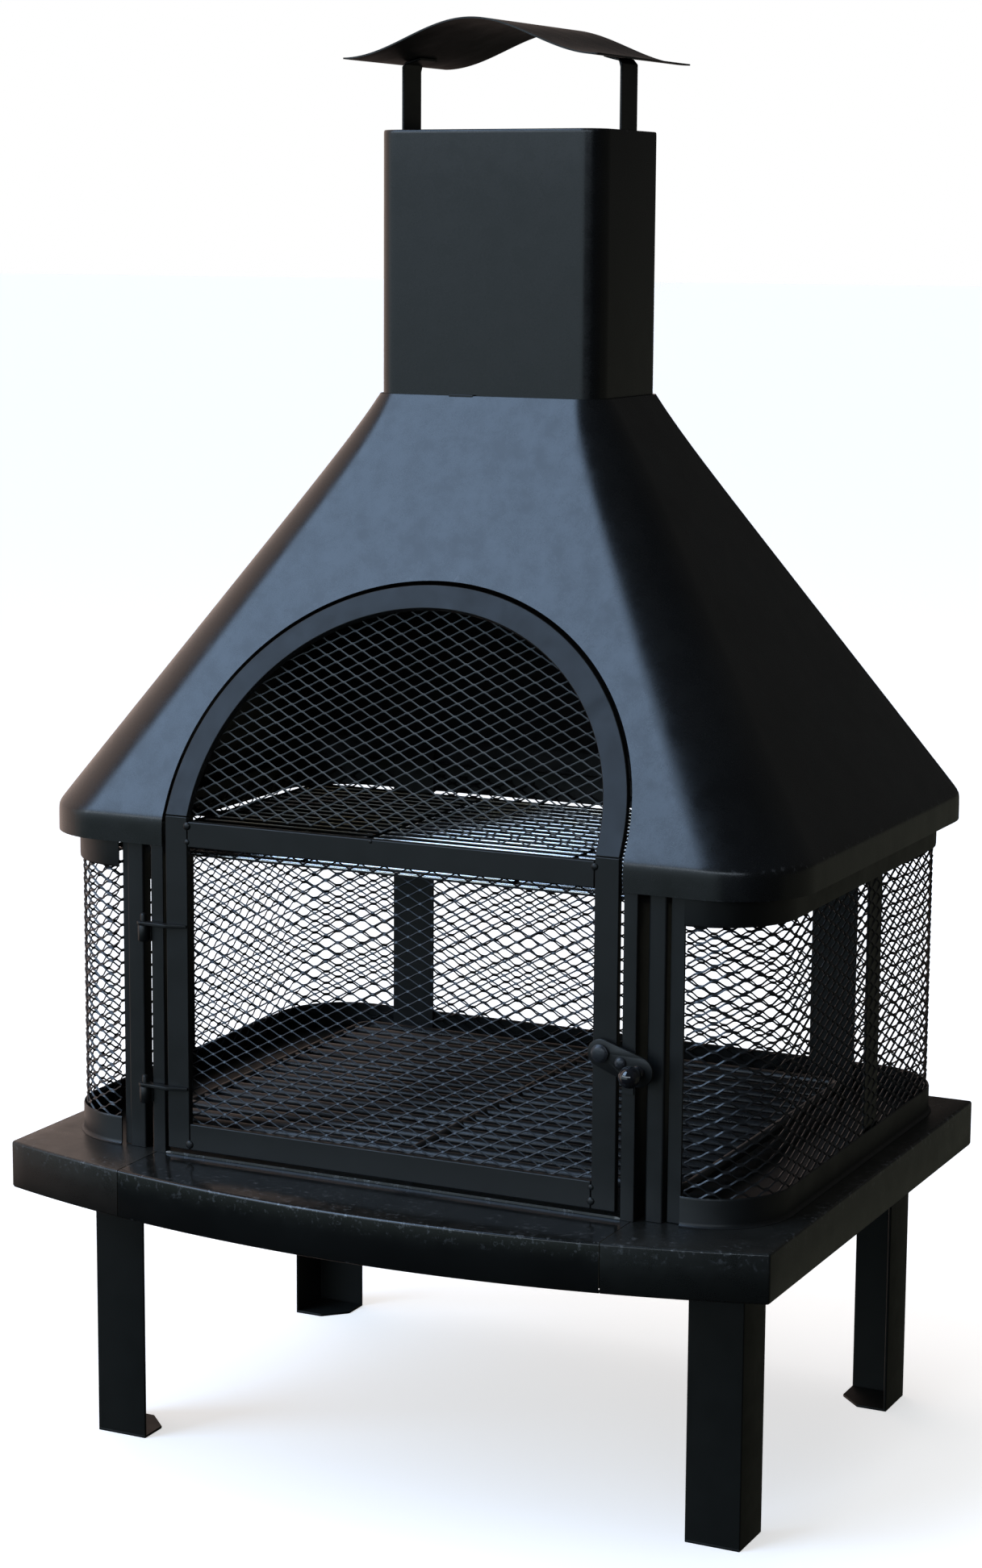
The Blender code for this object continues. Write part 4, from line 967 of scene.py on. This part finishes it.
def make_screens():
    """The three mesh screens, bent round the bands' inner side: a sheet's s runs along the firebox outline
    and its v up."""
    line, outward = ring_line(SCREEN_TUCK, BAND_END, from_seam=True)
    length = np.concatenate([[0], np.cumsum(np.linalg.norm(np.diff(line, axis=0), axis=1))])
    height = SCREEN_HIGH - SCREEN_LOW
    pattern = (0.0220, 0.0106, 0.0014, 0.0010, math.radians(36), curved_knots())

    def bent(flat):
        s, v, d = flat.T
        base = np.stack([np.interp(s, length, line[:, k]) for k in (0, 1)], -1)
        side = np.stack([np.interp(s, length, outward[:, k]) for k in (0, 1)], -1)
        side = side / np.linalg.norm(side, axis=1, keepdims=True)
        return np.concatenate([base - side * d[:, None], SCREEN_LOW + v[:, None]], 1)

    points, faces = expanded(*pattern, length[-1], height,
                             lambda s, v: (s > 0) & (s < length[-1]) & (v > 0) & (v < height))
    patch = (bent(points), faces)
    for side, shown in (("right", patch), ("left", mirrored(patch))):
        piece("mesh_screen_" + side, "frame", ["screen_" + side], [shown], MESH,
              solid=False)
    span = 2 * REAR_SEAM
    points, faces = expanded(*pattern, span, height,
                             lambda s, v: (s > 0) & (s < span) & (v > 0) & (v < height))
    s, v, d = points.T
    rear = np.stack([REAR_SEAM - s, RING_BACK - SCREEN_TUCK - d, SCREEN_LOW + v], -1)
    piece("mesh_screen_rear", "frame", ["screen_rear"], [(rear, faces)], MESH, solid=False)


def bar_between(corner, opposite):
    """A patch of six faces between two opposite corners, given in either order."""
    return block(np.minimum(corner, opposite), np.maximum(corner, opposite))


def make_uprights():
    """Flat strips behind the screens, and beside the doorway a tube, an angle and the screen's bar."""
    low, top = DECK_TOP + GAP, UPRIGHT_TOP
    back = RING_BACK - SCREEN_TUCK
    side_x = RING_HALF - SCREEN_TUCK
    bar_front = RING_FRONT + 0.0037
    y0, y1 = JAMB_FRONT + JAMB_WALL, JAMB_BACK
    angle = fillet([(JAMB[0], JAMB_FRONT), (JAMB[1], JAMB_FRONT), (JAMB[1], y1), (JAMB[1] - JAMB_WALL, y1),
                    (JAMB[1] - JAMB_WALL, y0), (JAMB[0], y0)], 0.0007, 3)
    jamb = skin(prism(angle, [low, top]))
    for side, sx in (("left", -1), ("right", 1)):
        piece("rear_upright_" + side, "frame", ["rear_post_" + side],
              [bar_between((sx * REAR_POST[0], back - BAR, low), (sx * REAR_POST[1], back, top))], SATIN,
              bevel=0.0005)
        y = SIDE_YS[side]
        strip = bar_between((sx * (side_x - BAR), y - SIDE_STRIP / 2, low),
                            (sx * side_x, y + SIDE_STRIP / 2, 0.4980))
        piece("side_upright_" + side, "frame", ["side_strip_" + side], [strip], SATIN,
              bevel=0.0005)
        x0, x1 = SCREEN_BARS[side]
        bar = bar_between((sx * x0, bar_front, low), (sx * x1, bar_front + BAR, TOP_BAND_TOP))
        piece("screen_edge_bar_" + side, "frame", ["screen_bar_" + side], [bar], SATIN,
              bevel=0.0005)
        x0, x1 = POSTS[side]
        corners = np.array([(x0, POST_FRONT), (x1, POST_FRONT), (x1, POST_BACK), (x0, POST_BACK)])
        outer = fillet(corners, 0.0018, 4)
        inner = fillet(corners + POST_WALL * np.array([(1, 1), (-1, 1), (-1, -1), (1, -1)]), 0.0009, 4)
        z = (low, top - 0.0003, top, top, top - 0.0003, low)
        loops = (outer, outer, outer * 0.999 + inner * 0.001, inner, inner, inner)
        rings = np.stack([np.concatenate([o, np.full((len(o), 1), h)], 1) for o, h in zip(loops, z)])
        post = skin(rings, loop=True)
        shown_post, shown_jamb = (post, jamb) if sx > 0 else (mirrored(post), mirrored(jamb))
        piece("post_tube_" + side, "frame", ["post_" + side], [shown_post], SATIN)
        piece("jamb_angle_" + side, "frame", ["jamb_" + side], [shown_jamb], SATIN,
              sharp=50)


# ---------------------------------------------------------------- door

def sloped(points):
    """From the arch's own plane, as x, distance up the slope from the bend and depth behind the front face,
    to the world."""
    x, up, deep = points[..., 0], points[..., 1], points[..., 2]
    y = DOOR_FRONT + up * math.sin(SLOPE) + deep * math.cos(SLOPE)
    z = DOOR_BEND + up * math.cos(SLOPE) - deep * math.sin(SLOPE)
    return np.stack([x, y, z], -1)


def make_arch():
    """The bent bar of the door's arch: straight from the bend, then a half circle, with a small crimp where
    it buckled on the right. Its foot is mitred to the stile."""
    rise = np.linspace(0, ARCH_RISE, 3)[:-1]
    turn = np.linspace(0, np.pi, 97)
    up = np.concatenate([rise, ARCH_RISE + 0 * turn, rise[::-1]])
    angle = np.concatenate([0 * rise, turn, 0 * rise + np.pi])
    section = [(DOOR_HALF, 0.0), (DOOR_HALF, DOOR_THICK), (DOOR_HALF - DOOR_BAR, DOOR_THICK),
               (DOOR_HALF - DOOR_BAR, 0.0)]
    at = math.radians(33)
    crimp = 0.0009 * np.exp(-((angle - at) / 0.020)**2) - 0.0006 * np.exp(-((angle - at - 0.075) / 0.028)**2)
    rings = []
    for radius, deep in section:
        x = radius * np.cos(angle)
        v = up + radius * np.sin(angle)
        foot = np.concatenate([[1.0], np.zeros(len(up) - 2), [1.0]])
        v = v + foot * (deep * math.tan(SLOPE / 2) + GAP)
        share = 1.0 if radius == DOOR_HALF else 0.35
        rings.append(np.stack([x, v, deep + crimp * share], -1))
    piece("door_arch", "door", ["arch"], [skin(sloped(np.stack(rings, 1)))], ARCH,
          bevel=0.0009, sharp=40)


def make_door_frame():
    """Stiles and rails of flat bar with eased edges, weld spots at their joints, and the mesh behind
    them."""
    back = DOOR_FRONT + DOOR_THICK
    inner = DOOR_HALF - DOOR_BAR
    mitre = DOOR_THICK * math.tan(SLOPE / 2)
    for side, sx in (("left", -1), ("right", 1)):
        points, faces = bar_between((sx * inner, DOOR_FRONT, DOOR_BOTTOM), (sx * DOOR_HALF, back, DOOR_BEND))
        points = points - np.array([0, 0, 1]) * (mitre * (points[:, 1:2] > back - 1e-6) *
                                                 (points[:, 2:] > DOOR_BEND - 1e-6))
        piece("door_stile_" + side, "door", ["stile_" + side], [(points, faces)], SATIN,
              bevel=0.0009)
    span = inner - GAP
    for name, (low, high) in (("mid_rail", MID_RAIL), ("bottom_rail", BOTTOM_RAIL)):
        piece("door_" + name, "door", [name],
              [bar_between((-span, DOOR_FRONT, low), (span, back, high))], SATIN, bevel=0.0009)
    beads = []
    spots = [(-inner, 0.5170, 0.0032), (-inner, 0.2640, 0.0034), (inner, 0.5165, 0.0028),
             (inner, 0.2655, 0.0030),
             (-inner, 0.5045, 0.0022), (inner, 0.2760, 0.0022), (-0.0120, 0.5190, 0.0016)]
    for x, z, size in spots:
        points, faces = turned(np.concatenate([[(size, -0.0010)], dome(size, size * 0.45)]), 14)
        beads.append((points[:, [0, 2, 1]] * np.array([1, -1, 1]) + np.array([x, DOOR_FRONT, z]), faces))
    piece("door_weld_spots", "door", [], beads, SATIN)
    half = inner + 0.0022
    low = DOOR_BOTTOM + 0.0040
    tall = 0.5165 - low
    pattern = (0.0200, 0.0105, 0.0010, 0.0009, math.radians(38), straight_knots(0.050))

    def behind_frame(s, v):
        return (np.abs(s - half) < half + 0.0045) & (v > 0) & (v < tall)

    points, faces = expanded(*pattern, 2 * half + 0.010, tall, behind_frame)
    s, v, d = points.T
    flat = np.stack([s - half, back + 0.0014 + d, low + v], -1)
    piece("door_mesh_low", "door", ["door_mesh_lower"], [(flat, faces)], MESH, solid=False)
    reach = inner + 0.0060

    def behind_arch(s, v):
        above = np.clip(v - ARCH_RISE, 0, None)
        return (v > 0.0010) & (np.abs(s - reach) < np.sqrt(np.clip(reach**2 - above**2, 0, None)))

    points, faces = expanded(*pattern, 2 * reach, reach + ARCH_RISE, behind_arch)
    s, v, d = points.T
    dome_mesh = sloped(np.stack([s - reach, v, DOOR_THICK + 0.0014 + d], -1))
    piece("door_mesh_arch", "door", ["door_mesh_upper"], [(dome_mesh, faces)], LIT_MESH,
          solid=False)


def make_hinges():
    """Lift-off hinges: an arm with a chamfered barrel and its round-topped pin on the jamb, and a leaf with
    an eye on the stile."""
    for name, z in HINGE_LEAF_Z.items():
        high = z - LEAF / 2 - GAP
        low = high - BARREL
        barrel = [(0.0034, low - 0.0002), (0.0040, low), (BARREL_R, low + 0.0008), (BARREL_R, high - 0.0006),
                  (0.0042, high), (PIN_R, high), (PIN_R, z + 0.0060), (0.0021, z + 0.0070),
                  (0.0010, z + 0.0075)]
        points, faces = turned(barrel, 26)
        arm = block((HINGE_X - 0.0030, HINGE_Y + 0.0020, low + 0.0006),
                    (-JAMB[1] - GAP, HINGE_Y + 0.0110, high - 0.0004))
        piece("hinge_pin_" + name, "frame", ["pintle_" + name],
              [(points + np.array([HINGE_X, HINGE_Y, 0]), faces), arm], SATIN, bevel=0.0004, sharp=50)
        face = DOOR_FRONT - GAP
        turn = np.radians(np.linspace(15, 290, 16))
        eye = np.stack([HINGE_X + EYE_R * np.cos(turn), HINGE_Y + EYE_R * np.sin(turn)], -1)
        weld = -DOOR_HALF + DOOR_BAR - 0.0008
        leaf = np.concatenate([eye, [(-DOOR_HALF + 0.0030, face - 0.0070), (weld, face - 0.0015),
                                     (weld, face), (-DOOR_HALF - 0.0015, face)]])
        plate = pierced(leaf, (HINGE_X, HINGE_Y), PIN_R + GAP, z - LEAF / 2, z + LEAF / 2, 0.0004)
        piece("hinge_plate_" + name, "door", ["hinge_leaf_" + name], [plate], SATIN)


def facing_front(patch, x, z, front):
    """Turns a patch whose axis is Z so that it points at the viewer of the front, and moves it there."""
    points, faces = patch
    return np.stack([points[:, 0] + x, front - points[:, 2], points[:, 1] + z], -1), faces


def teardrop(x0, z0, r0, x1, z1, r1, steps=14):
    """The outline round two circles and their outer tangents."""
    along = math.atan2(z1 - z0, x1 - x0)
    lean = math.acos((r0 - r1) / math.hypot(x1 - x0, z1 - z0))
    first = np.linspace(along + lean, along + 2 * np.pi - lean, steps)
    second = np.linspace(along - lean, along + lean, steps)
    return np.concatenate([np.stack([x0 + r0 * np.cos(first), z0 + r0 * np.sin(first)], -1),
                           np.stack([x1 + r1 * np.cos(second), z1 + r1 * np.sin(second)], -1)])


def make_latch():
    """The drop latch: a plate with a hook behind it on a domed bolt, a rivet, a gloss ball knob on its neck,
    a spacer, and the keeper on the jamb."""
    front, back = LATCH_FRONT, LATCH_FRONT + LATCH_PLATE
    drop = teardrop(LATCH_X, LATCH_Z, 0.0105, *LATCH_END, 0.0115)
    plate, faces = pierced(drop, (LATCH_X, LATCH_Z), 0.0033, 0.0, LATCH_PLATE, 0.0006)
    plate = np.stack([plate[:, 0], back - plate[:, 2], plate[:, 1]], -1)
    hook = [block((0.1965, front + 0.0012, 0.3670), (0.2035, -0.1890, 0.3710)),
            block((0.1965, -0.1903, 0.3600), (0.2035, -0.1890, 0.3709))]
    piece("drop_latch", "latch", ["latch_plate"], [(plate, faces)] + hook, SATIN,
          sharp=45)
    x, z = LATCH_END
    ball, centre, neck = 0.0082, 0.0160, 0.0034
    stop = math.asin(neck / ball)
    sweep = np.linspace(-np.pi / 2 + stop, np.pi / 2 - 0.05, 18)
    foot = [(0.0050, 0.0003), (0.0050, 0.0012), (0.0042, 0.0020), (neck, 0.0040), (neck, 0.0070)]
    profile = np.concatenate([foot, np.stack([ball * np.cos(sweep), centre + ball * np.sin(sweep)], -1)])
    piece("ball_knob", "latch", ["latch_knob"],
          [facing_front(turned(profile, 36), x, z, front)], KNOB)
    rivet = np.concatenate([[(0.0030, 0.0003), (0.0045, 0.0004)], dome(0.0045, 0.0026, 0.0005, 6)])
    piece("rivet_head", "latch", ["latch_rivet"],
          [facing_front(turned(rivet, 24), *RIVET_AT, front)], FASTENER)
    nut = [(0.0030, -0.0115), (0.0056, -0.0110), (0.0056, -0.0078), (0.0030, -0.0075)]
    flange = [(0.0030, 0.0), (0.0066, 0.0003), (0.0068, 0.0008), (0.0068, 0.0024)]
    bolt = np.concatenate([nut, flange, dome(0.0062, 0.0016, 0.0026, 5)])
    piece("pivot_bolt", "door", ["latch_bolt"],
          [facing_front(turned(bolt, 28), LATCH_X, LATCH_Z, front)], FASTENER)
    low, high = back + GAP, DOOR_FRONT - GAP
    ring = [(0.0033, 0.0), (0.0066, 0.0), (0.0068, 0.0003), (0.0068, high - low - 0.0003),
            (0.0066, high - low), (0.0033, high - low)]
    a = np.linspace(0, 2 * np.pi, 24, endpoint=False)
    rings = np.stack([np.stack([r * np.cos(a), r * np.sin(a), np.full(24, h)], -1) for r, h in ring])
    piece("latch_spacer", "door", ["latch_washer"],
          [facing_front(skin(rings, loop=True), LATCH_X, LATCH_Z, high)], FASTENER)
    keeper = [block((0.1955, -0.1889, 0.3500), (0.2045, -0.1878, 0.3590)),
              block((0.1955, -0.1919, 0.3578), (0.2045, -0.1882, 0.3590)),
              block((0.1955, -0.1919, 0.3578), (0.2045, -0.1908, 0.3655))]
    piece("keeper_hook", "frame", ["latch_keeper"], keeper, SATIN)


# ---------------------------------------------------------------- grates

def make_cooking_grate():
    """The chromed grate: a rounded frame of wire, thin wires from side to side and two wires across."""
    wire = 0.0020
    z = COOK_Z + wire
    rim = hoop(COOK_X - wire, COOK_FRONT + wire, COOK_BACK - wire, 0.0080, z, 5)[0]
    count = 22
    y = np.linspace(COOK_FRONT + wire, COOK_BACK - wire, count)[1:-1]
    ends = np.stack([np.full(len(y), COOK_X - wire), y, np.full(len(y), z)], -1)
    starts = ends * np.array([-1, 1, 1])
    x = np.array([-0.0900, 0.0900])
    low = np.stack([x, np.full(2, COOK_FRONT + wire), np.full(2, z)], -1)
    high = np.stack([x, np.full(2, COOK_BACK - wire), np.full(2, z)], -1)
    piece("chrome_grate", "cooking_grate_body", ["cooking_grate"],
          [tube(rim, wire, 12, closed=True), rods(starts, ends, wire * 0.94, 12), rods(low, high, wire, 12)],
          CHROME, sharp=60)


def make_fire_grate():
    """The black fire grate: round bars from side to side in a round frame, a middle bar and six feet."""
    radius = 0.0045
    z = FIRE_Z + radius
    rim = hoop(FIRE_X - radius, FIRE_FRONT + radius, FIRE_BACK - radius, 0.0120, z, 6)[0]
    y = np.linspace(FIRE_FRONT + radius, FIRE_BACK - radius, 17)[1:-1]
    ends = np.stack([np.full(len(y), FIRE_X - radius), y, np.full(len(y), z)], -1)
    starts = ends * np.array([-1, 1, 1])
    places = [(x, yy) for x in (-FIRE_X + radius, 0.0, FIRE_X - radius)
              for yy in (FIRE_FRONT + radius + 0.001, FIRE_BACK - radius - 0.001)]
    feet = [(np.array([x, yy, DECK_TOP + GAP]), np.array([x, yy, FIRE_Z + 0.003])) for x, yy in places]
    middle = rods((0.0, FIRE_FRONT + radius, z), (0.0, FIRE_BACK - radius, z), radius * 0.96, 14)
    piece("fire_bars", "fire_grate_body", ["fire_grate"],
          [tube(rim, radius, 14, closed=True), rods(starts, ends, radius * 0.92, 14), middle,
           rods(np.array([a for a, _ in feet]), np.array([b for _, b in feet]), 0.0035, 12)], GRATE_PAINT,
          sharp=60)


def make_brackets():
    """The four angle brackets under the cooking grate, two behind the posts and two on the side strips, with
    their screws."""
    top = COOK_Z - GAP
    side_face = RING_HALF - 0.0034 - BAR
    head, faces = turned(np.concatenate([[(0.0030, -0.0010)], dome(0.0036, 0.0018)]), 16)
    for side, sx in (("left", -1), ("right", 1)):
        x0, x1 = POSTS[side]
        front = -0.1687
        shelf = bar_between((sx * x0, front, top - 0.0020), (sx * x1, front + 0.0220, top))
        leg = bar_between((sx * x0, front, top - 0.0180), (sx * x1, front + 0.0020, top - 0.0005))
        piece("grate_bracket_front_" + side, "frame", ["bracket_front_" + side],
              [shelf, leg], SATIN, bevel=0.0005)
        screw = np.stack([head[:, 0] + sx * (x0 + x1) / 2, front + 0.0020 + head[:, 2],
                          head[:, 1] + top - 0.0110], -1)
        piece("bracket_screw_front_" + side, "frame", [], [(screw, faces)], FASTENER)
        y = SIDE_YS[side]
        shelf = bar_between((sx * 0.2450, y - 0.0110, top - 0.0020), (sx * side_face, y + 0.0110, top))
        leg = bar_between((sx * side_face, y - 0.0110, top - 0.0180),
                          (sx * (side_face - 0.0020), y + 0.0110, top - 0.0005))
        piece("grate_bracket_side_" + side, "frame", ["bracket_side_" + side],
              [shelf, leg], SATIN, bevel=0.0005)
        screw = np.stack([sx * (side_face - 0.0020 - head[:, 2]), head[:, 0] + y,
                          head[:, 1] + top - 0.0110], -1)
        piece("bracket_screw_side_" + side, "frame", [], [(screw, faces)], FASTENER)


# ---------------------------------------------------------------- studio

def make_floor():
    """A plain pale floor that the object stands on, with a soft shadow."""
    size = 60.0
    mesh = bpy.data.meshes.new("studio_floor")
    mesh.from_pydata([(-size, -size, 0), (size, -size, 0), (size, size, 0), (-size, size, 0)], [],
                     [(0, 1, 2, 3)])
    floor = bpy.data.objects.new("studio_floor", mesh)
    bpy.context.scene.collection.objects.link(floor)
    finish = bpy.data.materials.new("pale_floor")
    finish.use_nodes = True
    shader = finish.node_tree.nodes["Principled BSDF"]
    shader.inputs["Base Color"].default_value = (0.80, 0.80, 0.80, 1)
    shader.inputs["Roughness"].default_value = 1.0
    shader.inputs["Specular IOR Level"].default_value = 0.0
    shader.inputs["Emission Color"].default_value = (1.0, 1.0, 1.0, 1)
    shader.inputs["Emission Strength"].default_value = 0.62
    mesh.materials.append(finish)
    floor.visible_glossy = False
    floor.visible_diffuse = False


def span(net, value, low, high, soft):
    """1 between two angles and 0 outside them, with edges that are this soft, all in degrees."""
    rise = net.add("ShaderNodeMapRange", {"Value": value, "From Min": low - soft / 2,
                                          "From Max": low + soft / 2},
                   interpolation_type="SMOOTHSTEP", clamp=True).outputs["Result"]
    fall = net.add("ShaderNodeMapRange", {"Value": value, "From Min": high + soft / 2,
                                          "From Max": high - soft / 2},
                   interpolation_type="SMOOTHSTEP", clamp=True).outputs["Result"]
    return net.math("MULTIPLY", rise, fall)


def make_surroundings():
    """White for the camera, and for the light a dark room with soft boxes. Each is given by its bearing,
    0 at the front and positive to the right, its height above the horizon, its softness and its colour."""
    world = bpy.data.worlds.new("studio")
    bpy.context.scene.world = world
    world.use_nodes = True
    net = Net(world.node_tree)
    out = next(n for n in world.node_tree.nodes if n.type == "BACKGROUND")
    where = net.add("ShaderNodeSeparateXYZ", {0: net.add("ShaderNodeTexCoord").outputs["Generated"]}).outputs
    forward = net.math("MULTIPLY", where["Y"], -1.0)
    bearing = net.math("DEGREES", net.math("ARCTAN2", where["X"], forward))
    height = net.math("DEGREES", net.math("ARCSINE", where["Z"]))
    boxes = (((-62, -23), (25, 62), 5, (2.95, 4.2, 6.1)),
             ((-62, 35), (11, 20), 5, (3.0, 3.5, 4.0)),
             ((-75, 2), (-6, 12), 9, (0.62, 0.78, 0.88)),
             ((-75, 8), (-13, -4), 6, (0.17, 0.22, 0.20)),
             ((-150, -72), (-25, 60), 30, (0.85, 0.66, 0.58)),
             ((60, 179), (-10, 50), 30, (0.030, 0.030, 0.028)),
             ((90, 210), (-45, -2), 8, (0.060, 0.062, 0.046)))
    total = (0.016, 0.016, 0.016)
    for (left, right), (low, high), soft, colour in boxes:
        share = net.math("MULTIPLY", span(net, bearing, left, right, soft),
                         span(net, height, low, high, soft))
        add = net.add("ShaderNodeVectorMath", {0: colour, "Scale": share}, operation="SCALE").outputs[0]
        total = net.add("ShaderNodeVectorMath", {0: total, 1: add}, operation="ADD").outputs[0]
    seen = net.add("ShaderNodeLightPath").outputs["Is Camera Ray"]
    world.node_tree.links.new(net.mix(seen, total, (1.0, 1.0, 1.0)), out.inputs["Color"])


def lamp(name, at, aim, size, power, colour, glossy=True):
    """A square soft light that points at a place."""
    data = bpy.data.lights.new(name, "AREA")
    data.size = size
    data.energy = power
    data.color = colour
    obj = bpy.data.objects.new(name, data)
    bpy.context.scene.collection.objects.link(obj)
    obj.location = at
    obj.rotation_euler = (Vector(aim) - Vector(at)).to_track_quat("-Z", "Y").to_euler()
    obj.visible_glossy = glossy
    return obj


def make_camera():
    """The camera at the front right, a little above the middle of the hood and looking slightly down."""
    yaw, pitch, roll = (math.radians(a) for a in (25.82, 9.565, 0.377))
    ahead = Vector((-math.sin(yaw) * math.cos(pitch), math.cos(yaw) * math.cos(pitch), -math.sin(pitch)))
    right = Vector((math.cos(yaw), math.sin(yaw), 0))
    up = right.cross(ahead)
    right, up = (math.cos(roll) * right + math.sin(roll) * up, -math.sin(roll) * right + math.cos(roll) * up)
    data = bpy.data.cameras.new("camera")
    data.lens = 75.03
    data.sensor_fit = "VERTICAL"
    data.sensor_height = 36
    camera = bpy.data.objects.new("camera", data)
    bpy.context.scene.collection.objects.link(camera)
    camera.matrix_world = Matrix((right, up, -ahead)).transposed().to_4x4()
    camera.location = (1.1158, -2.3133, 0.9682)
    bpy.context.scene.camera = camera


make_hood()
make_chimney()
make_cap()
make_deck()
make_pan_front()
make_ash_pan()
make_runners()
make_legs()
make_bands()
make_screens()
make_uprights()
make_arch()
make_door_frame()
make_hinges()
make_latch()
make_cooking_grate()
make_fire_grate()
make_brackets()
make_floor()
make_surroundings()
lamp("top_light", (-0.3, -0.2, 4.2), (0, 0, 0.2), 3.6, 85, (1.0, 1.0, 1.0), glossy=False)
make_camera()
bpy.context.scene.view_settings.view_transform = "Standard"
